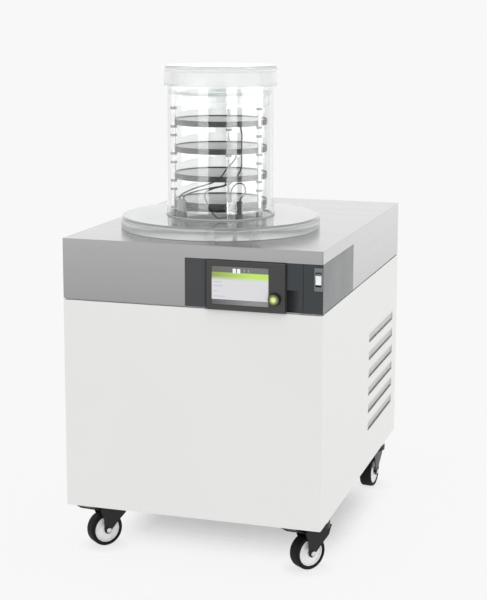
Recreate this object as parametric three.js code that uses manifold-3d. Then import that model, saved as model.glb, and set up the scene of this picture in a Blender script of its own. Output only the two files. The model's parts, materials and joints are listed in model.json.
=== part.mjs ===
// A laboratory freeze dryer: a white cabinet on four castors that holds the cold machinery,
// a stainless head with the touch screen, and a clear drying drum with heated shelves on top.
// Millimetres, +Z up, front towards -Y. The origin is the centre of the footprint on the floor.
import * as THREE from "three";
import { mergeVertices } from "three/addons/utils/BufferGeometryUtils.js";
import Module from "manifold-3d";

const wasm = await Module();
wasm.setup();

// ---------------------------------------------------------------- driving dimensions

const width = 740;
const depth = 1015;
const gap = 0.3; // between two pieces that touch on the real machine

// cabinet
const undersideHeight = 150; // floor to the cabinet's underside
const cabinetHeight = 593;
const cabinetSheet = 2;
const bendRadius = 4;
const topFlange = 20; // folded inwards, carries the deck plate
const shadowGap = 4; // dark joint between the cabinet and the head
const deckInset = 5;
const panThickness = 3;
const panLip = 30;
const louvreCount = 6;
const louvreLength = 362;
const louvreHeight = 34;
const louvrePitch = 55.5;
const louvreFromBack = 62;
const louvreTopHeight = 423; // above the cabinet's underside
const louvreDepth = 14;
const ventCount = 5;
const ventLength = 220;
const ventHeight = 8;
const ventPitch = 22;
const ventTop = 330; // above the cabinet's underside

// head
const headHeight = 168;
const headSheet = 2;
const panelWidth = 382;
const panelHeight = 132;
const panelReturn = 356; // length of the control panel along the right side
const panelFrontWall = 14;
const panelSideWall = 8;
const panelGroove = 1.2;
const grooveFromScoop = 5;
const logoFieldWidth = 56; // bare field left of the display
const scoopWidth = 39;
const scoopHeight = 60;
const scoopDepth = 10;

// display module
const moduleWidth = 228;
const moduleHeight = 133;
const moduleDrop = 2; // the module hangs this far over the dark joint
const moduleProjection = 12;
const moduleLeftFlank = 10;
const moduleRightFlank = 2;
const screenWidth = 158;
const screenHeight = 104;
const screenThickness = 4;
const screenSink = 0.6;
const screenLeft = 23; // from the module's left edge
const screenBottom = 15; // from the module's lower edge
const knobRadius = 18;
const knobFaceRadius = 15.5;
const knobHeight = 12;
const knobEdge = 1; // worn-soft corner of the face
const knobCapRadius = 14;
const knobCapThickness = 2;
const knobRight = 30; // from the module's right edge to the knob's axis
const knobUp = 38; // from the module's lower edge to the knob's axis
const spindleRadius = 3;
const spindleLength = 7;

// mains rocker at the corner
const switchWidth = 22;
const switchHeight = 62;
const switchPlate = 3;
const switchFromCorner = 1; // right edge of the switch plate to the right side
const switchUp = 62; // lower edge of the switch plate above the head's lower edge
const rockerWidth = 16;
const rockerHeight = 24;
const rockerTilt = 7; // degrees from level, one side pressed
const rockerPivotDepth = 9;
const rockerCrown = 3;
const housingWall = 1.5;
const housingDepth = 24;

// clear plate, drum and lid, on one axis
const chamberFromLeft = 345;
const chamberFromFront = 350;
const plateRadius = 289;
const plateThickness = 36;
const plateChamfer = 2;
const portRadius = 50;
const portBack = 70; // port axis behind the chamber axis
const portSealWidth = 8;
const portSealMargin = 4; // from the port's edge to the seal
const portSealThickness = 3;
const drumRadius = 155;
const drumWall = 5;
const drumSides = 40; // flats round the drum, its seals and the lid
const drumTop = 409; // above the head's top
const drumSealThickness = 3;
const drumSealProud = 2;
const lidRadius = 164;
const lidHeight = 56;
const lidRound = 10;
const lidTopThickness = 18;
const spigotRadius = 139;
const spigotWall = 23;
const spigotClearance = 1; // from the rack's rods up to the lid's spigot
const lidSealHeight = 388; // above the head's top
const lidSealThickness = 8;
const lidSealSink = 3;

// shelf rack
const shelfRadius = 134;
const shelfThickness = 16;
const shelfRim = 3;
const shelfRecess = 3;
const shelfCount = 4;
const lowestShelfTop = 82; // above the head's top
const shelfPitch = 77;
const rodAngles = { left: 218, right: 338, back: 98 }; // degrees about the chamber axis
const rodCircle = 140;
const rodRadius = 5;
const collarRadius = 8.5;
const collarHeight = 7;
const collarRise = 29; // from a shelf's top to the upper collar's underside
const footRadius = 8;
const rackPlateThickness = 1.7;
const rackPlateDrop = 8; // from the lowest shelf's underside to the rack plate's top

// leads and plugs inside the drum
const leadDiameter = 4;
const plugCircle = 142;
const plugThickness = 12;
const plugHeight = 53;
const doublePlugWidth = 34;
const doublePlugTopWidth = 26;
const clearPlugWidth = 19;
const blackPlugWidth = 17;

// castors
const casterInsetLeft = 86;
const casterInsetRight = 46;
const casterInsetFront = 131;
const casterInsetBack = 131;
const casterYaw = { frontLeft: 50, frontRight: 52, backLeft: 80, backRight: 85 }; // degrees
const tyreRadius = 50;
const tyreWidth = 38;
const tyreThickness = 11;
const tyreSides = 24;
const tyreShoulder = 5;
const hubWidth = 34;
const hubDish = 6;
const hubBoss = 13;
const hubRim = 4;
const hubDraft = 2;
const axleRadius = 6;
const axleHeadRadius = 8;
const axleHead = 3;
const casterTrail = 28;
const casterPlateSide = 84;
const casterPlateThickness = 4;
const raceRadius = 38;
const raceHeight = 15;
const crownRadius = 41;
const crownHeight = 14;
const kingPinRadius = 6;
const cheekThickness = 3.5;
const cheekGap = 2.5; // between the tyre and a fork cheek
const cheekLobe = 12;
const cheekWaist = { out: 13, up: 31 }; // outline points, from the axle away from the swivel
const cheekShoulder = { out: 22, up: 54 };
const cheekBackTop = 19;
const cheekToe = { out: 32, up: 21 }; // outline points, from the axle towards the swivel
const cheekHeel = { out: 57, up: 43 };
const cheekFrontTop = 67;
const pedalWidth = 32;
const pedalThickness = 4;
const pedalLength = 74;
const pedalSlope = 19; // degrees above level
const pedalPivotTrail = -14; // pivot from the axle, away from the swivel
const pedalPivotDrop = 42; // pivot below the cabinet's underside
const pedalPivotRadius = 5;

// machinery
const potRadius = 150;
const potWall = 3;
const potDepth = 330;
const potFlangeRadius = 168;
const potFlangeThickness = 4;
const coilRadius = 122;
const coilTube = 10;
const coilPitch = 40;
const coilTurns = 4;
const compressorRadius = 90;
const compressorHeight = 240;
const compressorFoot = 20; // the foot plate beyond the shell
const compressorFootThickness = 6;
const compressorDome = 40;
const compressorDomeInset = 25;
const compressorFromRight = 370;
const compressorFromBack = 280;
const radiatorThickness = 40;
const radiatorWidth = 340;
const radiatorHeight = 360;
const radiatorFins = 9;
const radiatorFromRight = 30;
const fanSquare = 330;
const fanPlate = 3;
const fanMotorLength = 46;
const fanShaftRadius = 5;
const fanRotorDepth = 26;
const fanBladeRoot = 4; // how far a blade is let into the hub
const fanBladeRadius = 140;
const fanRingRadius = 148;
const fanHubRadius = 34;
const fanBlades = 5;
const fanBladeChord = 60;
const fanBladePitch = 22; // degrees
const fanFromRadiator = 6;
const controlBoxSize = { x: 250, y: 90, z: 108 };
const controlBoxFromPanel = 34;
const controlBoxFromSide = 40;
const inletWidth = 58;
const inletHeight = 40;
const inletDepth = 30;
const inletFlange = 5;
const inletFlangeThickness = 3;
const inletSocket = { x: 28, z: 18, y: 20 };
const inletFromRight = 130;
const inletUp = 70;
const vacuumRadius = 14;
const vacuumWall = 2;
const vacuumFlangeRadius = 20;
const vacuumFlangeThickness = 3;
const vacuumProjection = 30;
const vacuumInside = 40;
const vacuumFromLeft = 150;
const vacuumUp = 480;

// ---------------------------------------------------------------- levels and places

const right = width / 2;
const left = -right;
const knobProjection = moduleProjection + 2 * gap + knobHeight;
const rackTop = lowestShelfTop + (shelfCount - 1) * shelfPitch + collarRise + collarHeight;
const spigotBottom = rackTop + spigotClearance;
const footprintShift = (knobProjection - vacuumProjection) / 2; // puts the origin mid-way
const front = -depth / 2 + footprintShift;
const back = front + depth;
const cabinetTop = undersideHeight + cabinetHeight;
const headBottom = cabinetTop + shadowGap;
const deck = headBottom + headHeight; // top face of the head
const deckPlateBottom = cabinetTop + gap;
const deckPlateTop = headBottom - gap;
const chamberX = left + chamberFromLeft;
const chamberY = front + chamberFromFront;
const portY = chamberY + portBack;
const panelLeft = right - panelWidth;
const panelTop = headBottom + panelHeight;
const moduleLeft = panelLeft + logoFieldWidth;
const moduleRight = moduleLeft + moduleWidth;
const moduleBottom = headBottom - moduleDrop;
const moduleFace = front - gap - moduleProjection;
const axleHeight = tyreRadius * Math.cos(Math.PI / tyreSides); // stands on a flat of the tyre
const potTop = deck - headSheet - gap;
const potBottom = potTop - potDepth;
const panTop = undersideHeight + panThickness;
const innerX = right - cabinetSheet - gap;
const rearPanelFront = back - cabinetSheet;

const clearAcrylic = { color: 0xeef3f1, roughness: 0.06, metalness: 0, opacity: 0.28 };
const brushedSteel = { color: 0xb4b6b8, roughness: 0.32, metalness: 0.9 };
const brightSteel = { color: 0xc8cac8, roughness: 0.25, metalness: 0.9 };
const whitePaint = { color: 0xe8e8e4, roughness: 0.5, metalness: 0 };
const galvanised = { color: 0x9a9d9e, roughness: 0.5, metalness: 0.7 };
const anthracite = { color: 0x464849, roughness: 0.45, metalness: 0 };
const blackSteel = { color: 0x262627, roughness: 0.45, metalness: 0.3 };
const blackPlastic = { color: 0x1c1c1d, roughness: 0.4, metalness: 0 };
const rubber = { color: 0x1e1e1f, roughness: 0.8, metalness: 0 };
const greyPlastic = { color: 0x8d8f8f, roughness: 0.5, metalness: 0 };
const paleSeal = { color: 0xb9bdbc, roughness: 0.6, metalness: 0 };
const copper = { color: 0xb5713f, roughness: 0.35, metalness: 0.9 };

// ---------------------------------------------------------------- building blocks

// A closed geometry as a solid that can be joined and cut.
function solid(geometry) {
  const bare = geometry.clone();
  bare.deleteAttribute("normal");
  bare.deleteAttribute("uv");
  const merged = mergeVertices(bare, 1e-4);
  const vertProperties = new Float32Array(merged.attributes.position.array);
  const triVerts = new Uint32Array(merged.index.array);
  return new wasm.Manifold(new wasm.Mesh({ numProp: 3, vertProperties, triVerts }));
}

function geometryOf(made) {
  const { vertProperties, triVerts } = made.getMesh();
  const geometry = new THREE.BufferGeometry();
  geometry.setAttribute("position", new THREE.BufferAttribute(vertProperties, 3));
  geometry.setIndex(new THREE.BufferAttribute(triVerts, 1));
  geometry.computeVertexNormals();
  return geometry;
}

function piece(name, shape, finish) {
  const geometry = shape.isBufferGeometry ? shape : geometryOf(shape);
  const material = new THREE.MeshStandardMaterial(finish);
  material.transparent = finish.opacity !== undefined;
  const mesh = new THREE.Mesh(geometry, material);
  mesh.name = name;
  return mesh;
}

function block(x0, x1, y0, y1, z0, z1) {
  const geometry = new THREE.BoxGeometry(x1 - x0, y1 - y0, z1 - z0);
  geometry.translate((x0 + x1) / 2, (y0 + y1) / 2, (z0 + z1) / 2);
  return solid(geometry);
}

const extrusionBasis = {
  x: [new THREE.Vector3(0, 1, 0), new THREE.Vector3(0, 0, 1), new THREE.Vector3(1, 0, 0)],
  y: [new THREE.Vector3(1, 0, 0), new THREE.Vector3(0, 0, 1), new THREE.Vector3(0, -1, 0)],
  z: [new THREE.Vector3(1, 0, 0), new THREE.Vector3(0, 1, 0), new THREE.Vector3(0, 0, 1)],
};

// A flat outline drawn out along one axis. The outline lies in the other two axes, in order.
function prism(outline, along, start, end, curveSegments = 4) {
  const shape = outline instanceof THREE.Shape ? outline : new THREE.Shape(points(outline));
  const options = { depth: end - start, bevelEnabled: false, curveSegments };
  const geometry = new THREE.ExtrudeGeometry(shape, options);
  geometry.applyMatrix4(new THREE.Matrix4().makeBasis(...extrusionBasis[along]));
  const shift = along === "y" ? end : start;
  geometry.translate(
    along === "x" ? shift : 0,
    along === "y" ? shift : 0,
    along === "z" ? shift : 0,
  );
  return solid(geometry);
}

function points(list) {
  return list.map(([a, b]) => new THREE.Vector2(a, b));
}

// A profile of [radius, height] turned about the Z axis.
function turned(profile, sides) {
  const geometry = new THREE.LatheGeometry(points(profile), sides);
  geometry.rotateX(Math.PI / 2);
  return solid(geometry);
}

// A piece made about the Z axis, laid along Y with its heights running to the back.
function alongY(made, x, z) {
  return made.rotate([-90, 0, 0]).translate([x, 0, z]);
}

function rod(radius, z0, z1, sides) {
  return turned([[0, z0], [radius, z0], [radius, z1], [0, z1]], sides);
}

function ring(outer, inner, z0, z1, sides) {
  return turned([[inner, z0], [outer, z0], [outer, z1], [inner, z1], [inner, z0]], sides);
}

function roundedRectangle(x0, x1, y0, y1, radius) {
  const shape = new THREE.Shape();
  shape.absarc(x1 - radius, y0 + radius, radius, -Math.PI / 2, 0);
  shape.absarc(x1 - radius, y1 - radius, radius, 0, Math.PI / 2);
  shape.absarc(x0 + radius, y1 - radius, radius, Math.PI / 2, Math.PI);
  shape.absarc(x0 + radius, y0 + radius, radius, Math.PI, (3 * Math.PI) / 2);
  return shape;
}

// A point on a circle about the chamber's axis, by degrees from +X and height above the deck.
function aroundChamber(degrees, radius, height) {
  const angle = THREE.MathUtils.degToRad(degrees);
  return new THREE.Vector3(
    chamberX + radius * Math.cos(angle),
    chamberY + radius * Math.sin(angle),
    deck + height,
  );
}

function onChamberAxis(made) {
  return made.translate([chamberX, chamberY, deck]);
}

// ---------------------------------------------------------------- cabinet

// One louvre is pushed in from the sheet: a blade that slopes inwards from its upper edge,
// and a cheek at each end that closes the pocket.
function louvrePocket(top) {
  const bottom = top - louvreHeight;
  const inner = right - louvreDepth;
  const y1 = back - louvreFromBack;
  const y0 = y1 - louvreLength;
  const blade = [
    [right, top + cabinetSheet],
    [right - cabinetSheet, top + cabinetSheet],
    [inner - cabinetSheet, bottom + cabinetSheet],
    [inner, bottom + cabinetSheet],
    [right, top],
  ];
  const cheek = [
    [right, top + cabinetSheet],
    [right - cabinetSheet, top + cabinetSheet],
    [inner - cabinetSheet, bottom + cabinetSheet],
    [right - cabinetSheet, bottom - cabinetSheet],
    [right, bottom - cabinetSheet],
  ];
  const slot = block(right - 2 * cabinetSheet, right + 1, y0, y1, bottom, top);
  const pocket = prism(blade, "y", y0 - cabinetSheet, y1 + cabinetSheet)
    .add(prism(cheek, "y", y0 - cabinetSheet, y0))
    .add(prism(cheek, "y", y1, y1 + cabinetSheet));
  return { slot, pocket };
}

function cabinetWrap() {
  const inside = bendRadius - cabinetSheet;
  const open = back + bendRadius;
  const outer = roundedRectangle(left, right, front, open + bendRadius, bendRadius);
  const hollow = roundedRectangle(
    left + cabinetSheet,
    right - cabinetSheet,
    front + cabinetSheet,
    open + bendRadius,
    inside,
  );
  let wrap = prism(outer, "z", undersideHeight, cabinetTop)
    .subtract(prism(hollow, "z", undersideHeight - 1, cabinetTop + 1))
    .subtract(block(left - 1, right + 1, back, open + 2 * bendRadius, 0, deck));
  const flange = prism(outer, "z", cabinetTop - cabinetSheet, cabinetTop)
    .subtract(
      block(left + topFlange, right - topFlange, front + topFlange, back, cabinetTop - topFlange, deck),
    )
    .subtract(block(left - 1, right + 1, rearPanelFront - gap, open + 2 * bendRadius, 0, deck));
  wrap = wrap.add(flange);
  for (let i = 0; i < louvreCount; i += 1) {
    const { slot, pocket } = louvrePocket(undersideHeight + louvreTopHeight - i * louvrePitch);
    wrap = wrap.subtract(slot).add(pocket);
  }
  return piece("cabinet_wrap", wrap, whitePaint);
}

function rearPanel() {
  let panel = block(-innerX, innerX, rearPanelFront, back, undersideHeight, cabinetTop);
  for (let i = 0; i < ventCount; i += 1) {
    const top = undersideHeight + ventTop - i * ventPitch;
    const half = ventLength / 2;
    panel = panel.subtract(block(-half, half, rearPanelFront - 1, back + 1, top - ventHeight, top));
  }
  const bore = rod(vacuumRadius + gap, rearPanelFront - 1, back + 1, 16);
  panel = panel.subtract(alongY(bore, vacuumX, vacuumZ)).subtract(inletCore(gap));
  return piece("rear_panel", panel, whitePaint);
}

function basePan() {
  const y0 = front + cabinetSheet + gap;
  const y1 = rearPanelFront - gap;
  const rim = panTop + panLip;
  const outline = roundedRectangle(-innerX, innerX, y0, y1, bendRadius);
  const hollow = block(
    -innerX + panThickness,
    innerX - panThickness,
    y0 + panThickness,
    y1 - panThickness,
    panTop,
    rim + hubDraft / 2,
  );
  const pan = prism(outline, "z", undersideHeight, rim).subtract(hollow);
  return piece("base_pan", pan, galvanised);
}

function deckPlate() {
  const plate = block(
    left + deckInset,
    right - deckInset,
    front + deckInset,
    back - deckInset,
    deckPlateBottom,
    deckPlateTop,
  );
  const hole = rod(potRadius + gap, deckPlateBottom - 1, deckPlateTop + 1, 32);
  return piece("deck_plate", plate.subtract(hole.translate([chamberX, chamberY, 0])), galvanised);
}

// ---------------------------------------------------------------- head

function headShell() {
  const sheet = headSheet;
  const outer = roundedRectangle(left, right, front, back, bendRadius);
  const hollow = roundedRectangle(
    left + sheet,
    right - sheet,
    front + sheet,
    back - sheet,
    bendRadius - sheet,
  );
  const port = rod(portRadius, deck - sheet - 1, deck + 1, 24).translate([chamberX, portY, 0]);
  const frontNotch = block(
    panelLeft - gap,
    right + 1,
    front - 1,
    front + panelFrontWall,
    headBottom - 1,
    panelTop + gap,
  );
  const sideNotch = block(
    right - panelSideWall,
    right + 1,
    front - 1,
    front + panelReturn + gap,
    headBottom - 1,
    panelTop + gap,
  );
  const shell = prism(outer, "z", headBottom, deck)
    .subtract(prism(hollow, "z", headBottom - 1, deck - sheet))
    .subtract(port)
    .subtract(frontNotch)
    .subtract(sideNotch);
  return piece("head_shell", shell, brushedSteel);
}

// The anthracite corner moulding: a front wall and a return along the right side.
function controlPanel() {
  const outer = roundedRectangle(panelLeft, right, front, front + panelReturn, bendRadius);
  const behind = block(
    panelLeft - 1,
    right - panelSideWall,
    front + panelFrontWall,
    front + panelReturn + 1,
    headBottom - 1,
    panelTop + 1,
  );
  const squareEnd = block(
    panelLeft,
    panelLeft + bendRadius,
    front,
    front + panelFrontWall,
    headBottom,
    panelTop,
  );
  const returnEnd = block(
    right - panelSideWall,
    right,
    front + panelReturn - bendRadius,
    front + panelReturn,
    headBottom,
    panelTop,
  );
  const scoopLeft = moduleRight;
  const scoop = new THREE.Shape();
  scoop.moveTo(scoopLeft, front - 1);
  scoop.lineTo(scoopLeft + scoopWidth, front - 1);
  scoop.lineTo(scoopLeft + scoopWidth, front);
  scoop.quadraticCurveTo(scoopLeft + scoopWidth / 2, front + scoopDepth, scoopLeft, front + scoopDepth);
  const grooveX = scoopLeft + scoopWidth + grooveFromScoop;
  const groove = block(grooveX, grooveX + panelGroove, front - 1, front + panelGroove, 0, deck);
  const panel = prism(outer, "z", headBottom, panelTop)
    .subtract(behind)
    .add(squareEnd)
    .add(returnEnd)
    .subtract(prism(scoop, "z", headBottom - 1, headBottom + scoopHeight))
    .subtract(groove)
    .subtract(switchHousing(gap));
  return piece("control_panel", panel, anthracite);
}

// ---------------------------------------------------------------- display and knob

const screenX0 = moduleLeft + screenLeft;
const screenZ0 = moduleBottom + screenBottom;
const knobX = moduleRight - knobRight;
const knobZ = moduleBottom + knobUp;

function displayBezel() {
  const outline = [
    [moduleLeft, front - gap],
    [moduleLeft + moduleLeftFlank, moduleFace],
    [moduleRight - moduleRightFlank, moduleFace],
    [moduleRight, front - gap],
  ];
  const seat = block(
    screenX0,
    screenX0 + screenWidth,
    moduleFace - 1,
    moduleFace + screenSink + screenThickness + gap,
    screenZ0,
    screenZ0 + screenHeight,
  );
  const bore = rod(spindleRadius + gap, moduleFace - 1, moduleFace + spindleLength + 1, 20);
  const body = prism(outline, "z", moduleBottom, moduleBottom + moduleHeight);
  const cut = seat.add(alongY(bore, knobX, knobZ));
  return piece("display_bezel", body.subtract(cut), anthracite);
}

function touchScreen() {
  const y0 = moduleFace + screenSink;
  const glass = block(
    screenX0 + gap,
    screenX0 + screenWidth - gap,
    y0,
    y0 + screenThickness,
    screenZ0 + gap,
    screenZ0 + screenHeight - gap,
  );
  return piece("touch_screen", glass, { color: 0xd6dad2, roughness: 0.25, metalness: 0 });
}

// The knob is turned about its own axis; heights here grow towards the user.
function knobTurned(profile, sides) {
  return turned(profile, sides).rotate([90, 0, 0]).translate([knobX, moduleFace - gap, knobZ]);
}

function selectorKnob() {
  const seatTop = knobHeight - knobCapThickness;
  const profile = [
    [0, -spindleLength],
    [spindleRadius, -spindleLength],
    [spindleRadius, 0],
    [knobRadius, 0],
    [knobFaceRadius, knobHeight - knobEdge],
    [knobFaceRadius - knobEdge / 2, knobHeight],
    [knobCapRadius + gap, knobHeight],
    [knobCapRadius + gap, seatTop - gap],
    [0, seatTop - gap],
  ];
  return piece("selector_knob", knobTurned(profile, 20), blackPlastic);
}

function knobCap() {
  const low = knobHeight - knobCapThickness;
  const profile = [[0, low], [knobCapRadius, low], [knobCapRadius, knobHeight], [0, knobHeight]];
  return piece("knob_cap", knobTurned(profile, 20), { color: 0xb9cf4a, roughness: 0.4, metalness: 0 });
}

// ---------------------------------------------------------------- mains rocker

const switchX1 = right - switchFromCorner;
const switchX = switchX1 - switchWidth / 2;
const switchZ0 = headBottom + switchUp;
const switchZ = switchZ0 + switchHeight / 2;
const rockerPivotY = front + rockerPivotDepth;
const rockerSwing = Math.hypot(rockerHeight / 2, rockerPivotDepth + switchPlate + rockerCrown);

// The box behind the plate, grown by a clearance when it cuts its own way through the panel.
function switchHousing(clearance) {
  const halfX = rockerWidth / 2 + gap + housingWall + clearance;
  const halfZ = rockerSwing + gap + housingWall + clearance;
  return block(
    switchX - halfX,
    switchX + halfX,
    front - gap - (clearance ? 1 : 0),
    front + housingDepth + clearance,
    switchZ - halfZ,
    switchZ + halfZ,
  );
}

function switchBezel() {
  const plate = block(
    switchX1 - switchWidth,
    switchX1,
    front - gap - switchPlate,
    front - gap,
    switchZ0,
    switchZ0 + switchHeight,
  );
  const well = block(
    switchX - rockerWidth / 2 - gap,
    switchX + rockerWidth / 2 + gap,
    front - switchPlate - 1,
    front + housingDepth - housingWall,
    switchZ - rockerSwing - gap,
    switchZ + rockerSwing + gap,
  );
  return piece("switch_bezel", plate.add(switchHousing(0)).subtract(well), {
    color: 0x6c6e70,
    roughness: 0.4,
    metalness: 0,
  });
}

function powerRocker() {
  const halfZ = rockerHeight / 2;
  const faceY = -(rockerPivotDepth + switchPlate + gap);
  const shape = new THREE.Shape();
  shape.moveTo(faceY - rockerCrown / 2, -halfZ);
  shape.quadraticCurveTo(faceY + rockerCrown, 0, faceY - rockerCrown / 2, halfZ);
  shape.lineTo(faceY + rockerCrown, halfZ);
  shape.lineTo(rockerPivotDepth / 2, rockerCrown);
  shape.lineTo(rockerPivotDepth / 2, -rockerCrown);
  shape.lineTo(faceY + rockerCrown, -halfZ);
  const rocker = prism(shape, "x", -rockerWidth / 2, rockerWidth / 2, 5);
  const placed = rocker.rotate([rockerTilt, 0, 0]).translate([switchX, rockerPivotY, switchZ]);
  return piece("power_rocker", placed, { color: 0xf4f4f2, roughness: 0.35, metalness: 0 });
}

// ---------------------------------------------------------------- clear plate, drum and lid

const portSealInner = portRadius + portSealMargin;

function basePlate() {
  const c = plateChamfer;
  const disc = turned(
    [
      [0, gap],
      [plateRadius - c, gap],
      [plateRadius, gap + c],
      [plateRadius, plateThickness - c],
      [plateRadius - c, plateThickness],
      [0, plateThickness],
    ],
    52,
  );
  const port = rod(portRadius, -1, plateThickness + 1, 24);
  const groove = ring(
    portSealInner + portSealWidth + gap,
    portSealInner - gap,
    -1,
    gap + portSealThickness + gap,
    24,
  );
  const cut = port.add(groove).translate([0, portBack, 0]);
  return piece("base_plate", onChamberAxis(disc.subtract(cut)), clearAcrylic);
}

function portSeal() {
  const outer = portSealInner + portSealWidth;
  const seal = ring(outer, portSealInner, gap, gap + portSealThickness, 24);
  return piece("port_seal", seal.translate([chamberX, portY, deck]), paleSeal);
}

const drumInner = drumRadius - drumWall;
const drumBottom = plateThickness + gap + drumSealThickness + gap;

function drumSeal() {
  const z0 = plateThickness + gap;
  const seal = ring(drumRadius + drumSealProud, drumInner, z0, z0 + drumSealThickness, drumSides);
  return piece("drum_seal", onChamberAxis(seal), paleSeal);
}

function drum() {
  const wall = ring(drumRadius, drumInner, drumBottom, drumTop - gap, drumSides);
  return piece("drum", onChamberAxis(wall), clearAcrylic);
}

const sealGrooveRadius = spigotRadius - lidSealSink;

function lid() {
  const inner = spigotRadius - spigotWall;
  const top = drumTop + lidHeight;
  const sealLow = lidSealHeight - lidSealThickness / 2 - gap;
  const sealHigh = lidSealHeight + lidSealThickness / 2 + gap;
  const corner = lidRound * (1 - Math.SQRT1_2);
  const profile = [
    [0, top - lidTopThickness],
    [inner, top - lidTopThickness],
    [inner, spigotBottom],
    [spigotRadius, spigotBottom],
    [spigotRadius, sealLow],
    [sealGrooveRadius, sealLow],
    [sealGrooveRadius, sealHigh],
    [spigotRadius, sealHigh],
    [spigotRadius, drumTop],
    [lidRadius, drumTop],
    [lidRadius, top - lidRound],
    [lidRadius - corner, top - corner],
    [lidRadius - lidRound, top],
    [0, top],
  ];
  return piece("lid", onChamberAxis(turned(profile, drumSides)), clearAcrylic);
}

function lidSeal() {
  const half = lidSealThickness / 2;
  const seal = ring(
    drumInner - gap,
    sealGrooveRadius + gap,
    lidSealHeight - half,
    lidSealHeight + half,
    drumSides,
  );
  return piece("lid_seal", onChamberAxis(seal), paleSeal);
}

// ---------------------------------------------------------------- shelf rack

const rackPlateTop = lowestShelfTop - shelfThickness - rackPlateDrop;
const rackPlateBottom = rackPlateTop - rackPlateThickness;

function rackPlate() {
  const plate = rod(shelfRadius, rackPlateBottom, rackPlateTop, 36);
  return piece("rack_plate", onChamberAxis(plate), brightSteel);
}

function shelfTop(index) {
  return lowestShelfTop + index * shelfPitch;
}

function shelf(index) {
  const top = shelfTop(index);
  const bottom = top - shelfThickness;
  const tray = turned(
    [
      [0, bottom],
      [shelfRadius, bottom],
      [shelfRadius, top],
      [shelfRadius - shelfRim, top],
      [shelfRadius - shelfRim, top - shelfRecess],
      [0, top - shelfRecess],
    ],
    36,
  );
  return piece(`shelf_${index + 1}`, onChamberAxis(tray), brightSteel);
}

// A rod stands on its foot and carries a pair of clamped collars for each shelf.
function rackRod(name, degrees) {
  const foot = rackPlateBottom - gap;
  const profile = [[0, plateThickness + gap], [footRadius, plateThickness + gap], [footRadius, foot]];
  profile.push([rodRadius, foot]);
  for (let i = 0; i < shelfCount; i += 1) {
    const under = shelfTop(i) - shelfThickness - gap - collarHeight;
    const over = shelfTop(i) + collarRise;
    for (const z of [under, over]) {
      profile.push([rodRadius, z]);
      profile.push([collarRadius, z]);
      profile.push([collarRadius, z + collarHeight]);
      profile.push([rodRadius, z + collarHeight]);
    }
  }
  profile.pop();
  profile.push([0, rackTop]);
  const made = turned(profile, 8);
  const at = aroundChamber(degrees, rodCircle, 0);
  return piece(name, made.translate([at.x, at.y, at.z]), brightSteel);
}

// ---------------------------------------------------------------- leads and plugs

const leadSection = new THREE.Shape();
for (let i = 0; i < 8; i += 1) {
  const angle = (i * Math.PI) / 4;
  const x = (leadDiameter / 2) * Math.cos(angle);
  const y = (leadDiameter / 2) * Math.sin(angle);
  if (i === 0) leadSection.moveTo(x, y);
  else leadSection.lineTo(x, y);
}

// A lead runs through points of [degrees, radius, height] about the chamber's axis.
function lead(name, route) {
  const path = new THREE.CatmullRomCurve3(
    route.map(([degrees, radius, height]) => aroundChamber(degrees, radius, height)),
    false,
    "centripetal",
  );
  const steps = Math.round(path.getLength() / (2.5 * leadDiameter));
  const options = { steps, extrudePath: path, bevelEnabled: false };
  const geometry = new THREE.ExtrudeGeometry(leadSection, options);
  return piece(name, geometry, rubber);
}

// A flat plug that stands in the narrow space between the shelves and the drum.
function plug(name, degrees, footWidth, topWidth, finish) {
  const z0 = plateThickness + gap;
  const outline = [
    [-footWidth / 2, z0],
    [footWidth / 2, z0],
    [topWidth / 2, z0 + plugHeight],
    [-topWidth / 2, z0 + plugHeight],
  ];
  const half = plugThickness / 2;
  const body = prism(outline, "x", plugCircle - half, plugCircle + half);
  return piece(name, onChamberAxis(body.rotate([0, 0, degrees])), finish);
}

const underShelf = (index) => shelfTop(index) - shelfThickness - gap;
const plugTop = plateThickness + gap + plugHeight + gap;

// Each shelf's lead leaves a gland under the shelf, drops between the shelf rims and the drum,
// and ends in a plug on the clear plate. The fourth is the loop between the two right plugs.
function leads() {
  const top = underShelf(3);
  const second = underShelf(2);
  const third = underShelf(1);
  return [
    lead("lead_1", [
      [-44.1, 120, top],
      [-44.1, 120, top - 5],
      [-45, 127, top - 12],
      [-46.7, 138, top - 20],
      [-48, 144, 262],
      [-48.2, 144, 230],
      [-48.2, 144, 200],
      [-49.1, 144, 180],
      [-53.3, 144, 162],
      [-57.5, 144, 148],
      [-67.6, 144, 135],
      [-79.9, 144, 127],
      [-88.1, 144, 117],
      [-89.7, 144, 105],
      [-86.4, 144, 82],
      [-79.9, 144, 54],
      [-73.5, 144, 43],
      [-68.4, 142.4, 45],
      [-64.8, 142, 45.4],
    ]),
    lead("lead_2", [
      [-51, 120, second],
      [-51, 120, second - 5],
      [-53.4, 128, second - 11],
      [-56.8, 138, second - 16],
      [-61.1, 144, 193],
      [-66, 144.5, 180],
      [-71.6, 144.5, 160],
      [-77.5, 144.5, 148],
      [-86.8, 144.5, 138],
      [-99.1, 144.5, 128],
      [-111, 144.5, 116],
      [-121, 144.3, 104],
      [-124.6, 144, plugTop + 7],
      [-124.6, 144, plugTop],
    ]),
    lead("lead_3", [
      [-65.3, 120, third],
      [-65.3, 120, third - 4],
      [-67, 128, third - 8],
      [-71, 136, third - 10],
      [-78, 139, 130],
      [-88, 139.2, 125],
      [-99, 139.2, 118],
      [-109.6, 139.5, 110],
      [-117.5, 140, 102],
      [-119.4, 140, plugTop + 6],
      [-119.4, 140, plugTop],
    ]),
    lead("lead_4", [
      [-60.6, 141, plugTop],
      [-60.6, 141, plugTop + 7],
      [-60.2, 140, 112],
      [-58.6, 140, 127],
      [-54.5, 140, 137],
      [-50.1, 140, 140],
      [-45.7, 140, 137],
      [-43, 140, 126],
      [-43.2, 140.4, 111],
      [-46.4, 141, 103],
      [-49.4, 141, plugTop + 5],
      [-49.4, 141, plugTop],
    ]),
  ];
}

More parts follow.
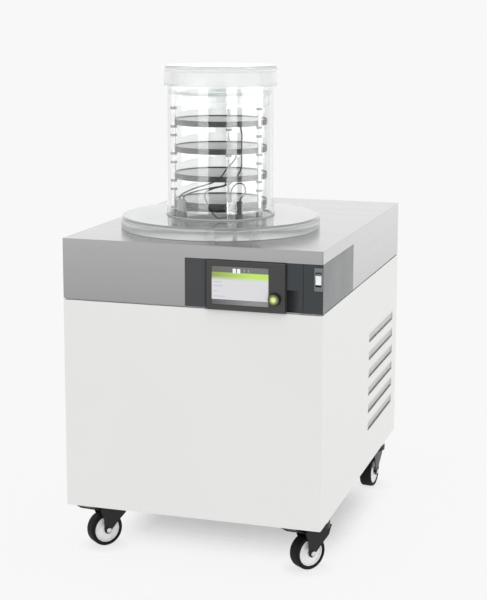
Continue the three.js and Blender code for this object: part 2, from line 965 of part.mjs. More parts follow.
function plugs() {
  return [
    plug("double_plug", -122, doublePlugWidth, doublePlugTopWidth, greyPlastic),
    plug("clear_plug", -60.6, clearPlugWidth, clearPlugWidth, clearAcrylic),
    plug("black_plug", -50.9, blackPlugWidth, blackPlugWidth, blackPlastic),
  ];
}

// ---------------------------------------------------------------- castors

// A castor is built about its own swivel axis, with the wheel trailing towards -X.
const mountTop = undersideHeight - gap;
const raceTop = mountTop - casterPlateThickness;
const raceBottom = raceTop - raceHeight;
const crownTop = raceBottom - gap;
const crownBottom = crownTop - crownHeight;
const hubRadius = (tyreRadius - tyreThickness) * Math.cos(Math.PI / tyreSides) - gap;
const cheekInner = tyreWidth / 2 + cheekGap;
const cheekOuter = cheekInner + cheekThickness;

function casterMount(name) {
  const half = casterPlateSide / 2;
  const mount = block(-half, half, -half, half, raceTop, mountTop)
    .add(rod(raceRadius, raceBottom, raceTop + 1, 16))
    .add(rod(kingPinRadius, crownBottom, raceBottom + 1, 16));
  return piece(name, mount, blackSteel);
}

function forkCheek(y0) {
  const axle = -casterTrail;
  const top = crownBottom + crownHeight / 3;
  const outline = new THREE.Shape();
  outline.moveTo(axle - cheekBackTop, top);
  outline.lineTo(axle - cheekShoulder.out, axleHeight + cheekShoulder.up);
  outline.lineTo(axle - cheekWaist.out, axleHeight + cheekWaist.up);
  outline.lineTo(axle - cheekLobe, axleHeight);
  outline.absarc(axle, axleHeight, cheekLobe, Math.PI, 2 * Math.PI);
  outline.lineTo(axle + cheekToe.out, axleHeight + cheekToe.up);
  outline.lineTo(axle + cheekHeel.out, axleHeight + cheekHeel.up);
  outline.lineTo(axle + cheekFrontTop, top);
  return prism(outline, "y", y0, y0 + cheekThickness, 3);
}

// Along the axle: a turned piece whose own axis becomes Y.
function onAxle(made) {
  return made.rotate([90, 0, 0]).translate([-casterTrail, 0, axleHeight]);
}

function casterFork(name) {
  const crown = ring(crownRadius, kingPinRadius + gap, crownBottom, crownTop, 16);
  const pin = rod(axleRadius, -cheekOuter, cheekOuter, 8);
  const heads = rod(axleHeadRadius, cheekOuter - 1, cheekOuter + axleHead, 8).add(
    rod(axleHeadRadius, -cheekOuter - axleHead, 1 - cheekOuter, 8),
  );
  const fork = crown
    .add(forkCheek(cheekInner))
    .add(forkCheek(-cheekOuter))
    .add(onAxle(pin.add(heads)));
  return piece(name, fork, blackSteel);
}

function wheelHub(name) {
  const half = hubWidth / 2;
  const bore = axleRadius + gap;
  const rim = hubRadius - hubRim;
  const hub = turned(
    [
      [bore, -half],
      [hubBoss, -half],
      [hubBoss + hubDraft, hubDish - half],
      [rim, hubDish - half],
      [rim + hubDraft / 2, -half],
      [hubRadius, -half],
      [hubRadius, half],
      [rim + hubDraft / 2, half],
      [rim, half - hubDish],
      [hubBoss + hubDraft, half - hubDish],
      [hubBoss, half],
      [bore, half],
      [bore, -half],
    ],
    16,
  );
  return piece(name, onAxle(hub), { color: 0xd8dad8, roughness: 0.45, metalness: 0 });
}

function tyre(name) {
  const half = tyreWidth / 2;
  const inner = tyreRadius - tyreThickness;
  const made = turned(
    [
      [inner, -half],
      [tyreRadius - tyreShoulder, -half],
      [tyreRadius, tyreShoulder - half],
      [tyreRadius, half - tyreShoulder],
      [tyreRadius - tyreShoulder, half],
      [inner, half],
      [inner, -half],
    ],
    tyreSides,
  );
  return piece(name, onAxle(made.rotate([0, 0, 180 / tyreSides])), rubber);
}

function brakePedal(name) {
  const half = pedalWidth / 2;
  const lever = block(-pedalLength, 0, -half, half, -pedalThickness / 2, pedalThickness / 2);
  const barrel = rod(pedalPivotRadius, gap - cheekInner, cheekInner - gap, 12);
  const made = lever
    .rotate([0, pedalSlope, 0])
    .add(barrel.rotate([90, 0, 0]))
    .translate([pedalPivotTrail - casterTrail, 0, undersideHeight - pedalPivotDrop]);
  return piece(name, made, blackSteel);
}

function caster(corner, x, y, yaw, braked) {
  const fixed = new THREE.Group();
  fixed.position.set(x, y, 0);
  fixed.add(casterMount(`castor_mount_${corner}`));
  const swivel = new THREE.Group();
  swivel.rotation.z = THREE.MathUtils.degToRad(yaw);
  swivel.add(casterFork(`castor_fork_${corner}`));
  swivel.add(wheelHub(`wheel_hub_${corner}`));
  swivel.add(tyre(`tyre_${corner}`));
  if (braked) swivel.add(brakePedal(`brake_pedal_${corner}`));
  fixed.add(swivel);
  return fixed;
}

function casters() {
  const group = new THREE.Group();
  const x0 = left + casterInsetLeft;
  const x1 = right - casterInsetRight;
  const y0 = front + casterInsetFront;
  const y1 = back - casterInsetBack;
  group.add(caster("front_left", x0, y0, casterYaw.frontLeft, true));
  group.add(caster("front_right", x1, y0, casterYaw.frontRight, true));
  group.add(caster("back_left", x0, y1, casterYaw.backLeft, false));
  group.add(caster("back_right", x1, y1, casterYaw.backRight, false));
  return group;
}

// ---------------------------------------------------------------- machinery

function condenserPot() {
  const low = potTop - potFlangeThickness;
  const inner = potRadius - potWall;
  const pot = turned(
    [
      [0, potBottom],
      [potRadius, potBottom],
      [potRadius, low],
      [potFlangeRadius, low],
      [potFlangeRadius, potTop],
      [inner, potTop],
      [inner, potBottom + potWall],
      [0, potBottom + potWall],
    ],
    32,
  );
  return piece("condenser_pot", pot.translate([chamberX, chamberY, 0]), brightSteel);
}

class Helix extends THREE.Curve {
  constructor(radius, pitch, turns, start) {
    super();
    this.radius = radius;
    this.pitch = pitch;
    this.turns = turns;
    this.start = start;
  }

  getPoint(t, target = new THREE.Vector3()) {
    const angle = 2 * Math.PI * this.turns * t;
    return target.set(
      chamberX + this.radius * Math.cos(angle),
      chamberY + this.radius * Math.sin(angle),
      this.start + this.pitch * this.turns * t,
    );
  }
}

function condenserCoil() {
  const section = new THREE.Shape();
  const r = coilTube / 2;
  for (let i = 0; i < 6; i += 1) {
    const angle = (i * Math.PI) / 3;
    if (i === 0) section.moveTo(r, 0);
    else section.lineTo(r * Math.cos(angle), r * Math.sin(angle));
  }
  const start = potBottom + potWall + gap + r;
  const extrudePath = new Helix(coilRadius, coilPitch, coilTurns, start);
  const options = { steps: coilTurns * 13, extrudePath, bevelEnabled: false };
  return piece("condenser_coil", new THREE.ExtrudeGeometry(section, options), copper);
}

function compressor() {
  const z0 = panTop + gap;
  const z1 = z0 + compressorHeight;
  const foot = compressorRadius + compressorFoot;
  const shell = turned(
    [
      [0, z0],
      [foot, z0],
      [foot, z0 + compressorFootThickness],
      [compressorRadius, z0 + compressorFootThickness],
      [compressorRadius, z1 - compressorDome],
      [compressorRadius - compressorDomeInset, z1],
      [0, z1],
    ],
    20,
  );
  const at = [right - compressorFromRight, back - compressorFromBack, 0];
  return piece("compressor", shell.translate(at), blackSteel);
}

const radiatorX1 = right - radiatorFromRight;
const radiatorX0 = radiatorX1 - radiatorThickness;
const airY = back - louvreFromBack - louvreLength / 2;
const airZ = panTop + radiatorHeight / 2;

function radiator() {
  const y0 = airY - radiatorWidth / 2;
  const y1 = airY + radiatorWidth / 2;
  const z0 = panTop + gap;
  const z1 = z0 + radiatorHeight;
  let core = block(radiatorX0, radiatorX1, y0, y1, z0, z1);
  const pitch = radiatorWidth / (radiatorFins + 1);
  for (let i = 1; i <= radiatorFins; i += 1) {
    const y = y0 + i * pitch;
    const slot = block(
      radiatorX0 + radiatorThickness / 3,
      radiatorX1 + 1,
      y - pitch / 4,
      y + pitch / 4,
      z0 - 1,
      z1 + 1,
    );
    core = core.subtract(slot);
  }
  return piece("radiator", core, copper);
}

const fanX = radiatorX0 - fanFromRadiator - fanPlate;

// Turned about Z, then laid along X at the fan's axis.
function onFanAxis(made) {
  return made.rotate([0, 90, 0]).translate([0, airY, airZ]);
}

function fanFrame() {
  const half = fanSquare / 2;
  const bar = fanHubRadius / 2;
  const shaftEnd = fanX - fanMotorLength - fanRotorDepth - gap;
  const plate = block(fanX, fanX + fanPlate, airY - half, airY + half, panTop + gap, airZ + half);
  const cross = block(fanX, fanX + fanPlate, airY - half, airY + half, airZ - bar, airZ + bar);
  const frame = plate
    .subtract(onFanAxis(rod(fanRingRadius, fanX - 1, fanX + fanPlate + 1, 28)))
    .add(cross)
    .add(onFanAxis(rod(fanHubRadius, fanX - fanMotorLength, fanX + 1, 16)))
    .add(onFanAxis(rod(fanShaftRadius, shaftEnd, fanX - fanMotorLength + 1, 12)));
  return piece("fan_frame", frame, blackSteel);
}

function fanRotor() {
  const x1 = fanX - fanMotorLength - gap;
  const x0 = x1 - fanRotorDepth;
  let rotor = onFanAxis(ring(fanHubRadius, fanShaftRadius + gap, x0, x1, 20));
  for (let i = 0; i < fanBlades; i += 1) {
    const blade = block(
      -fanPlate / 2,
      fanPlate / 2,
      -fanBladeChord / 2,
      fanBladeChord / 2,
      fanHubRadius - fanBladeRoot,
      fanBladeRadius,
    )
      .rotate([0, 0, fanBladePitch])
      .rotate([(360 * i) / fanBlades, 0, 0])
      .translate([(x0 + x1) / 2, airY, airZ]);
    rotor = rotor.add(blade);
  }
  return piece("fan_rotor", rotor, greyPlastic);
}

function controlBox() {
  const x1 = right - panelSideWall - controlBoxFromSide;
  const y0 = front + panelFrontWall + controlBoxFromPanel;
  const z0 = deckPlateTop + gap;
  const size = controlBoxSize;
  const box = block(x1 - size.x, x1, y0, y0 + size.y, z0, z0 + size.z);
  return piece("control_box", box, galvanised);
}

const inletX = right - inletFromRight;
const inletZ = undersideHeight + inletUp;

function inletCore(clearance) {
  const halfX = inletWidth / 2 - inletFlange + clearance;
  const halfZ = inletHeight / 2 - inletFlange + clearance;
  const y0 = rearPanelFront - inletDepth;
  const y1 = back + gap + 1;
  return block(inletX - halfX, inletX + halfX, y0, y1, inletZ - halfZ, inletZ + halfZ);
}

function powerInlet() {
  const y0 = back + gap;
  const y1 = y0 + inletFlangeThickness;
  const halfX = inletWidth / 2;
  const halfZ = inletHeight / 2;
  const flange = block(inletX - halfX, inletX + halfX, y0, y1, inletZ - halfZ, inletZ + halfZ);
  const socket = block(
    inletX - inletSocket.x / 2,
    inletX + inletSocket.x / 2,
    y1 - inletSocket.y,
    y1 + 1,
    inletZ - inletSocket.z / 2,
    inletZ + inletSocket.z / 2,
  );
  return piece("power_inlet", flange.add(inletCore(0)).subtract(socket), blackPlastic);
}

const vacuumX = left + vacuumFromLeft;
const vacuumZ = undersideHeight + vacuumUp;

function vacuumPort() {
  const inner = vacuumRadius - vacuumWall;
  const end = back + vacuumProjection;
  const t = vacuumFlangeThickness;
  const profile = [
    [inner, rearPanelFront - vacuumInside],
    [vacuumRadius, rearPanelFront - vacuumInside],
    [vacuumRadius, back + gap],
    [vacuumFlangeRadius, back + gap],
    [vacuumFlangeRadius, back + gap + t],
    [vacuumRadius, back + gap + t],
    [vacuumRadius, end - t],
    [vacuumFlangeRadius, end - t],
    [vacuumFlangeRadius, end],
    [inner, end],
    [inner, rearPanelFront - vacuumInside],
  ];
  return piece("vacuum_port", alongY(turned(profile, 16), vacuumX, vacuumZ), brightSteel);
}

// ---------------------------------------------------------------- the whole machine

function freezeDryer() {
  const machine = new THREE.Group();
  machine.add(cabinetWrap(), rearPanel(), basePan(), deckPlate(), headShell(), controlPanel());
  machine.add(displayBezel(), touchScreen(), selectorKnob(), knobCap(), switchBezel(), powerRocker());
  machine.add(basePlate(), portSeal(), drumSeal(), drum(), lid(), lidSeal(), rackPlate());
  for (let i = 0; i < shelfCount; i += 1) machine.add(shelf(i));
  for (const [side, degrees] of Object.entries(rodAngles)) {
    machine.add(rackRod(`rack_rod_${side}`, degrees));
  }
  machine.add(...leads(), ...plugs());
  machine.add(condenserPot(), condenserCoil(), compressor(), radiator(), fanFrame(), fanRotor());
  machine.add(controlBox(), powerInlet(), vacuumPort());
  machine.add(casters());
  return machine;
}

export default freezeDryer();
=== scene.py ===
import json
from math import acos, atan2, cos, hypot, pi, radians, sin, sqrt, tan

import bmesh
import bpy
from mathutils import Matrix, Vector


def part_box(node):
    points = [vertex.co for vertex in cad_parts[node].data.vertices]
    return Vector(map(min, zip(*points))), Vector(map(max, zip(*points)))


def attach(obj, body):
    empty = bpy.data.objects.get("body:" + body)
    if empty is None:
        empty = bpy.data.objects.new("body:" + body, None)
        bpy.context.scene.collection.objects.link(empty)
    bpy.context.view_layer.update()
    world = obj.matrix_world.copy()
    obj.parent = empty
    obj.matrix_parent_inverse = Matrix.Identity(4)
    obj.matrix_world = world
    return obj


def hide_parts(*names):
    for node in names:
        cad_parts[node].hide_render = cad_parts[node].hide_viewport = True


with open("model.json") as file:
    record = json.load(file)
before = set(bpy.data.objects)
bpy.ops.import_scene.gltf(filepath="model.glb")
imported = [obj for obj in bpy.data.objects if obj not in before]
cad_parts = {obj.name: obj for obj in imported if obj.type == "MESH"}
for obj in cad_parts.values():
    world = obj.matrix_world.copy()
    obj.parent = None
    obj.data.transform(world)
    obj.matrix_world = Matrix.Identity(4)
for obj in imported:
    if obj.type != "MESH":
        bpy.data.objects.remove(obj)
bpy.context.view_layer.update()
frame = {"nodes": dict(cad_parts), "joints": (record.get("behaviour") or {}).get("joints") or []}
scene = bpy.context.scene


# ---------- camera
# A long lens at chest height, a few metres in front and to the right of the machine, looking
# slightly down, with the lens shifted down so that the upright edges keep their slant.
camera_place = Vector((1.2481, -4.0659, 1.5305))
camera_yaw = radians(17.127)
camera_pitch = radians(9.573)
camera_roll = radians(0.134)

camera_data = bpy.data.cameras.new("camera")
camera_data.sensor_width = 36
camera_data.lens = 85.58
camera_data.shift_y = -0.08
camera = bpy.data.objects.new("camera", camera_data)
camera.matrix_world = (
    Matrix.Translation(camera_place)
    @ Matrix.Rotation(camera_yaw, 4, "Z")
    @ Matrix.Rotation(pi / 2 - camera_pitch, 4, "X")
    @ Matrix.Rotation(camera_roll, 4, "Z")
)
scene.collection.objects.link(camera)
scene.camera = camera
scene.view_settings.view_transform = "Standard"


# ---------- leads inside the drum
# Four thin black rubber leads. Each shelf's lead leaves a gland under the shelf, hangs between
# the shelf rims and the drum, and ends in a plug on the clear plate. One short loop joins plugs.
lead_diameter = 0.004
lead_clearance = 0.0003
grain_depth = 0.0002
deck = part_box("head_shell")[1].z


def centre_of(node):
    low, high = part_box(node)
    return (low + high) / 2


def new_material(name):
    material = bpy.data.materials.new(name)
    material.use_nodes = True
    tree = material.node_tree
    return material, tree, tree.nodes["Principled BSDF"]


def join(value, socket):
    """Links another node's output to an input, or sets the input to a plain value."""
    if isinstance(value, bpy.types.NodeSocket):
        socket.id_data.links.new(value, socket)
    else:
        socket.default_value = (*value, 1) if socket.type == "RGBA" else value


def feed(node, **values):
    """Joins values to a node's inputs by their names, with _ for a space."""
    for label, value in values.items():
        join(value, node.inputs[label.replace("_", " ")])


def add_node(tree, kind, **settings):
    """A node with its settings; a key that names an input feeds that input."""
    node = tree.nodes.new(kind)
    for key, value in settings.items():
        if key.replace("_", " ") in node.inputs:
            feed(node, **{key: value})
        else:
            setattr(node, key, value)
    return node


def math(operation, *values):
    """A math node on outputs or plain numbers; returns its output."""
    tree = next(value.id_data for value in values if isinstance(value, bpy.types.NodeSocket))
    node = add_node(tree, "ShaderNodeMath", operation=operation)
    for value, socket in zip(values, node.inputs):
        join(value, socket)
    return node.outputs[0]


def product(first, *others):
    for other in others:
        first = math("MULTIPLY", first, other)
    return first


def total(first, *others):
    for other in others:
        first = math("ADD", first, other)
    return first


def ramp(value, low, high, to_low, to_high, kind="LINEAR"):
    """A clamped map of a value from one range to another; returns its output."""
    node = add_node(value.id_data, "ShaderNodeMapRange", interpolation_type=kind)
    for number, socket in zip((value, low, high, to_low, to_high), node.inputs):
        join(number, socket)
    return node.outputs[0]


def colour_mix(factor, first, second):
    """A colour mix of outputs or (r, g, b) colours; returns its output."""
    node = add_node(factor.id_data, "ShaderNodeMix", data_type="RGBA")
    for value, place in ((factor, 0), (first, 6), (second, 7)):
        join(value, node.inputs[place])
    return node.outputs[2]


def object_place(tree):
    return add_node(tree, "ShaderNodeTexCoord").outputs["Object"]


def new_group(name, kind, inputs, outputs):
    """An empty node group with its named sockets; returns it, what it is given and its end."""
    group = bpy.data.node_groups.new(name, kind)
    for way, sockets in (("INPUT", inputs), ("OUTPUT", outputs)):
        for label, socket in sockets.items():
            group.interface.new_socket(label, in_out=way, socket_type="NodeSocket" + socket)
    return group, group.nodes.new("NodeGroupInput").outputs, group.nodes.new("NodeGroupOutput")


def skin_group(name, fine_roughness, coarse_detail, fine_share):
    """A fine and a coarse noise that blend two colours and two levels of gloss."""
    group, given, end = new_group(
        name,
        "ShaderNodeTree",
        {
            "Vector": "Vector", "Fine Scale": "Float", "Coarse Scale": "Float",
            "Light Colour": "Color", "Dark Colour": "Color", "Smooth": "Float", "Rough": "Float",
        },
        {"Colour": "Color", "Roughness": "Float", "Height": "Float"},
    )
    fine = add_node(
        group, "ShaderNodeTexNoise", Vector=given["Vector"], Scale=given["Fine Scale"], Detail=3.0,
        Roughness=fine_roughness,
    ).outputs["Fac"]
    coarse = add_node(
        group, "ShaderNodeTexNoise", Vector=given["Vector"], Scale=given["Coarse Scale"],
        Detail=coarse_detail,
    ).outputs["Fac"]
    blend = total(
        product(ramp(coarse, 0.35, 0.65, 0, 1), 1 - fine_share),
        product(ramp(fine, 0.3, 0.7, 0, 1), fine_share),
    )
    spread = math("SUBTRACT", given["Rough"], given["Smooth"])
    feed(
        end,
        Colour=colour_mix(blend, given["Dark Colour"], given["Light Colour"]),
        Roughness=total(given["Smooth"], product(spread, blend)),
        Height=fine,
    )
    return group


# Grain: the small irregular skin of paint, rubber and moulded plastic, with slow clouding.
grain = skin_group("grain", 0.6, 4.0, 0.3)


def lay_skin(shader, relief, depth, **settings):
    """Feeds a shader's colour, gloss and normal from a skin group with its settings."""
    skin = add_node(shader.id_data, "ShaderNodeGroup", **settings).outputs
    bump = add_node(
        shader.id_data, "ShaderNodeBump", Strength=relief, Distance=depth, Height=skin["Height"]
    )
    feed(shader, Base_Color=skin["Colour"], Roughness=skin["Roughness"], Normal=bump.outputs[0])


def grained(name, light, dark, smooth, rough, scale=900, cloud=5, bump=0.1, **constants):
    """A paint, rubber or plastic whose colour, gloss and skin follow the grain group."""
    material, tree, shader = new_material(name)
    lay_skin(
        shader, bump, grain_depth, node_tree=grain, Vector=object_place(tree), Fine_Scale=scale,
        Coarse_Scale=cloud, Light_Colour=light, Dark_Colour=dark, Smooth=smooth, Rough=rough,
    )
    feed(shader, **constants)
    return material


lead_rubber = grained(
    "lead_rubber", (0.035, 0.035, 0.037), (0.02, 0.02, 0.021), 0.45, 0.6, 1500, 30
)


def on_way(a, b, start, end, t):
    """Where a point is at time t on the straight way from a to b."""
    return a * ((end - t) / (end - start)) + b * ((t - start) / (end - start))


def through(knots, steps):
    """A smooth line through knots: each stretch's speed follows the square root of its length."""
    knots = [knots[0] * 2 - knots[1], *knots, knots[-1] * 2 - knots[-2]]
    line = []
    for a, b, c, d in zip(knots, knots[1:], knots[2:], knots[3:]):
        t1 = sqrt((b - a).length)
        t2 = t1 + sqrt((c - b).length)
        t3 = t2 + sqrt((d - c).length)
        for t in (t1 + (t2 - t1) * step / steps for step in range(steps)):
            ab, bc, cd = on_way(a, b, 0, t1, t), on_way(b, c, t1, t2, t), on_way(c, d, t2, t3, t)
            line.append(on_way(on_way(ab, bc, 0, t2, t), on_way(bc, cd, t1, t3, t), t1, t2, t))
    line.append(knots[-2])
    return line


chamber = centre_of("drum")


def lead(name, length, plug, route):
    """A lead along a route of (degrees, millimetres from the axis, millimetres above the head)."""
    line = through(
        [
            Vector((
                chamber.x + radius / 1000 * cos(radians(angle)),
                chamber.y + radius / 1000 * sin(radians(angle)),
                deck + height / 1000,
            ))
            for angle, radius, height in route
        ],
        6,
    )
    curve = bpy.data.curves.new(name + "_rubber", "CURVE")
    curve.dimensions = "3D"
    curve.bevel_depth = lead_diameter / 2
    curve.bevel_resolution = 4
    curve.use_fill_caps = True
    spline = curve.splines.new("POLY")
    spline.points.add(len(line) - 1)
    for point, place in zip(spline.points, line):
        point.co = (*place, 1)
    spline.use_smooth = True
    obj = bpy.data.objects.new(name + "_rubber", curve)
    scene.collection.objects.link(obj)
    curve.materials.append(lead_rubber)
    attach(obj, "frame")
    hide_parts(name)
    return obj, line[0], length, plug


def under_shelf(number):
    """Where a shelf's gland ends, in millimetres above the head."""
    return (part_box(f"shelf_{number}")[0].z - deck - lead_clearance) * 1000


second, third, top = (under_shelf(number) for number in (2, 3, 4))
on_plug = (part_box("black_plug")[1].z - deck + lead_clearance) * 1000
leads = [
    lead("lead_1", 0.362, "clear_plug", [
        (-44.1, 120, top), (-44.1, 120, top - 5), (-45, 127, top - 12), (-46.7, 138, top - 20),
        (-48, 144, 262), (-48.2, 144, 230), (-48.2, 144, 200), (-49.1, 144, 180),
        (-53.3, 144, 162), (-57.5, 144, 148), (-67.6, 144, 135), (-79.9, 144, 127),
        (-88.1, 144, 117), (-89.7, 144, 105), (-86.4, 144, 82), (-79.9, 144, 54),
        (-73.5, 144, 43), (-68.4, 142.4, 45), (-64.8, 142, 45.4),
    ]),
    lead("lead_2", 0.246, "double_plug", [
        (-51, 120, third), (-51, 120, third - 5), (-53.4, 128, third - 11),
        (-56.8, 138, third - 16), (-61.1, 144, 193), (-66, 144.5, 180), (-71.6, 144.5, 160),
        (-77.5, 144.5, 148), (-86.8, 144.5, 138), (-99.1, 144.5, 128), (-111, 144.5, 116),
        (-121, 144.3, 104), (-124.6, 144, on_plug + 7), (-124.6, 144, on_plug),
    ]),
    lead("lead_3", 0.158, "double_plug", [
        (-65.3, 120, second), (-65.3, 120, second - 4), (-67, 128, second - 8),
        (-71, 136, second - 10), (-78, 139, 130), (-88, 139.2, 125), (-99, 139.2, 118),
        (-109.6, 139.5, 110), (-117.5, 140, 102), (-119.4, 140, on_plug + 6),
        (-119.4, 140, on_plug),
    ]),
    lead("lead_4", 0.131, "black_plug", [
        (-60.6, 141, on_plug), (-60.6, 141, on_plug + 7), (-60.2, 140, 112),
        (-58.6, 140, 127), (-54.5, 140, 137), (-50.1, 140, 140), (-45.7, 140, 137),
        (-43, 140, 126), (-43.2, 140.4, 111), (-46.4, 141, 103), (-49.4, 141, on_plug + 5),
        (-49.4, 141, on_plug),
    ]),
]


# ---------- plugs
# Three moulded plugs stand on the clear plate in the space between the shelves and the drum:
# a grey one that takes two leads, a clear one and a black one.
def settle(obj):
    """Applies the modifiers, so that the piece is a plain mesh."""
    evaluated = obj.evaluated_get(bpy.context.evaluated_depsgraph_get())
    mesh = bpy.data.meshes.new_from_object(evaluated)
    obj.modifiers.clear()
    obj.data = mesh


def shade(obj, sharp=40):
    """Shades smooth up to an angle, with normals that leave the large flat faces flat."""
    for face in obj.data.polygons:
        face.use_smooth = True
    obj.data.set_sharp_from_angle(angle=radians(sharp))
    obj.modifiers.new("normals", "WEIGHTED_NORMAL").keep_sharp = True
    settle(obj)


def piece_from(name, bm, outwards=True):
    """A new object from a bmesh, with merged points and faces that point outwards."""
    bmesh.ops.remove_doubles(bm, verts=bm.verts, dist=2e-6)
    if outwards:
        bmesh.ops.recalc_face_normals(bm, faces=bm.faces)
    mesh = bpy.data.meshes.new(name)
    bm.to_mesh(mesh)
    bm.free()
    obj = bpy.data.objects.new(name, mesh)
    scene.collection.objects.link(obj)
    return obj


def finish_piece(obj, body, slot, nodes, *materials):
    """Gives a finished piece its materials and its body, and hides the nodes it stands for. The
    slot is not used.
    """
    for material in materials:
        obj.data.materials.append(material)
    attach(obj, body)
    if nodes:
        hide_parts(*nodes)
    return obj


def softened(node, width, segments, body, slot, *materials):
    """A finished piece from a node's solid: points merged, flat faces joined, edges rounded."""
    bm = bmesh.new()
    bm.from_mesh(frame["nodes"][node].data)
    bmesh.ops.remove_doubles(bm, verts=bm.verts, dist=1e-6)
    bmesh.ops.dissolve_limit(bm, angle_limit=radians(0.5), verts=bm.verts, edges=bm.edges)
    obj = piece_from(node + "_shape", bm)
    bevel = obj.modifiers.new("edges", "BEVEL")
    bevel.width = width
    bevel.segments = segments
    bevel.limit_method = "ANGLE"
    bevel.angle_limit = radians(30)
    settle(obj)
    shade(obj, 180)
    return finish_piece(obj, body, slot, [node], *materials)


def show_mix(tree, factor, first, second):
    """Gives a material's surface as a mix of two shaders."""
    mix = add_node(tree, "ShaderNodeMixShader")
    for value, socket in zip((factor, first.outputs[0], second.outputs[0]), mix.inputs):
        join(value, socket)
    feed(tree.nodes["Material Output"], Surface=mix.outputs[0])


def clear_plastic(name, colour, smooth, rough, clear=1.0):
    """Polished clear plastic with faint wiping marks; light passes through it to what it shades."""
    material, tree, shader = new_material(name)
    stretch = add_node(tree, "ShaderNodeMapping", Scale=(9, 9, 3), Vector=object_place(tree))
    marks = add_node(
        tree, "ShaderNodeTexNoise", Vector=stretch.outputs[0], Scale=2.0, Detail=5.0, Roughness=0.6,
        Distortion=0.6,
    )
    feed(
        shader, Base_Color=colour, Transmission_Weight=clear, IOR=1.49,
        Roughness=ramp(marks.outputs["Fac"], 0.45, 0.75, smooth, rough),
    )
    veil = add_node(tree, "ShaderNodeBsdfTransparent", Color=(0.93, 0.945, 0.94))
    path = add_node(tree, "ShaderNodeLightPath")
    show_mix(tree, path.outputs["Is Shadow Ray"], shader, veil)
    return material


acrylic = clear_plastic("clear_acrylic", (0.985, 0.997, 0.992), 0.0, 0.03)
grey_moulding = grained(
    "grey_moulding", (0.24, 0.245, 0.25), (0.19, 0.195, 0.2), 0.4, 0.5, 1200, 25
)
black_moulding = grained(
    "black_moulding", (0.022, 0.022, 0.023), (0.013, 0.013, 0.014), 0.35, 0.45, 1200, 25
)

plugs = {
    name: softened(name, 0.0018, 3, "frame", slot, material)
    for name, slot, material in (
        ("double_plug", "grey_plastic", grey_moulding),
        ("clear_plug", "clear_acrylic", acrylic),
        ("black_plug", "black_plastic", black_moulding),
    )
}


# ---------- cabinet sheet
# One sheet of 2 mm steel, bent round the left, front and right sides and powder coated white.
# Six louvres are pressed inwards in the right side, each open along its lower edge.
cabinet_low, cabinet_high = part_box("cabinet_wrap")
sheet_thickness = 0.002
bend_radius = 0.004
flange_width = 0.02
flange_radius = 0.0016
louvre_count = 6
louvre_height = 0.034
louvre_length = 0.362
louvre_pitch = 0.0555
louvre_top = cabinet_low.z + 0.423
louvre_tops = [louvre_top - number * louvre_pitch for number in range(louvre_count)]
louvre_back = cabinet_high.y - 0.062
louvre_front = louvre_back - louvre_length
louvre_depth = 0.008
louvre_end = 0.002  # length of the pressed wall at each end of a louvre
louvre_tail = 0.018  # how far a blade reaches down behind the wall below its slit
louvre_hinge = 0.14  # share of a louvre's height that its upper bend takes
louvre_shares = (0, 0.035, 0.07, 0.105, 0.14, 0.4, 0.7, 1)  # rows of points down a blade
# Colour of the painted shade in the pressed louvres.
louvre_shade_colour = (0.16, 0.16, 0.155)


def split(vector):
    return add_node(vector.id_data, "ShaderNodeSeparateXYZ", Vector=vector).outputs


def reopen(material):
    """A material's shader, with the place on the surface and its x, y and z."""
    place = object_place(material.node_tree)
    return material.node_tree.nodes["Principled BSDF"], place, *split(place)


def source(shader, label):
    """What feeds a shader's input so far."""
    return shader.inputs[label].links[0].from_socket


def speckle(place, scale, detail, low, high, to_low, to_high):
    """A noise of one scale, mapped from one range to another."""
    noise = add_node(place.id_data, "ShaderNodeTexNoise", Vector=place, Scale=scale, Detail=detail)
    return ramp(noise.outputs["Fac"], low, high, to_low, to_high)


louvred_coat = grained(
    "louvred_powder_coat", (0.782, 0.787, 0.77), (0.762, 0.767, 0.75), 0.42, 0.55, 1400, 2.5, 0.06
)
shader, place, x, y, _ = reopen(louvred_coat)
# Painted shade: inside the louvres the coat is darkened, most a few millimetres into the wall and
# less further in, with a faint cloud.
louvre_shade = product(
    ramp(x, cabinet_high.x - 0.0028, cabinet_high.x - 0.0004, 1, 0),
    ramp(x, cabinet_high.x - 0.007, cabinet_high.x - 0.003, 0.3, 1),
    math("GREATER_THAN", y, louvre_front - 0.01),
    math("GREATER_THAN", x, cabinet_high.x - 0.02),
    speckle(place, 60.0, 4.0, 0.3, 0.7, 0.36, 0.48),
)
feed(shader, Base_Color=colour_mix(louvre_shade, source(shader, "Base Color"), louvre_shade_colour))


def press_depth(down):
    """Depth of a louvre's blade, as a share, at a share of its height below its upper edge."""
    bent = min(down, louvre_hinge)
    return (bent * bent / (2 * louvre_hinge) + max(down - louvre_hinge, 0)) / (1 - louvre_hinge / 2)


def end_share(y):
    """0 outside a louvre's ends, rising to 1 over the pressed end wall."""
    share = min(max(min(y - louvre_front, louvre_back - y) / louvre_end, 0), 1)
    return share * share * (3 - 2 * share)


outline = [(cabinet_low.x, cabinet_high.y)]
for bend, start in ((cabinet_low.x + bend_radius, pi), (cabinet_high.x - bend_radius, 1.5 * pi)):
    for turn in (start + k * pi / 12 for k in range(7)):
        outline.append(
            (bend + bend_radius * cos(turn), cabinet_low.y + bend_radius * (1 + sin(turn)))
        )
end_steps = [louvre_end * k / 5 for k in range(6)]
outline += [(cabinet_high.x, louvre_front + step) for step in end_steps]
outline += [(cabinet_high.x, louvre_back - step) for step in reversed(end_steps)]
outline.append((cabinet_high.x, cabinet_high.y))

rows = [(cabinet_high.z, flange_width, None)]  # height, inset of the flange, share down a louvre
for turn in (k * pi / 8 for k in range(5)):
    height = cabinet_high.z - flange_radius * (1 - cos(turn))
    rows.append((height, flange_radius * (1 - sin(turn)), None))
for top in louvre_tops:
    rows.append((top + 0.002, 0, None))
    rows += [(top - down * louvre_height, 0, down) for down in louvre_shares]
    rows += [(top - louvre_height, 0, None), (top - louvre_height - 0.002, 0, None)]
rows.append((cabinet_low.z, 0, None))

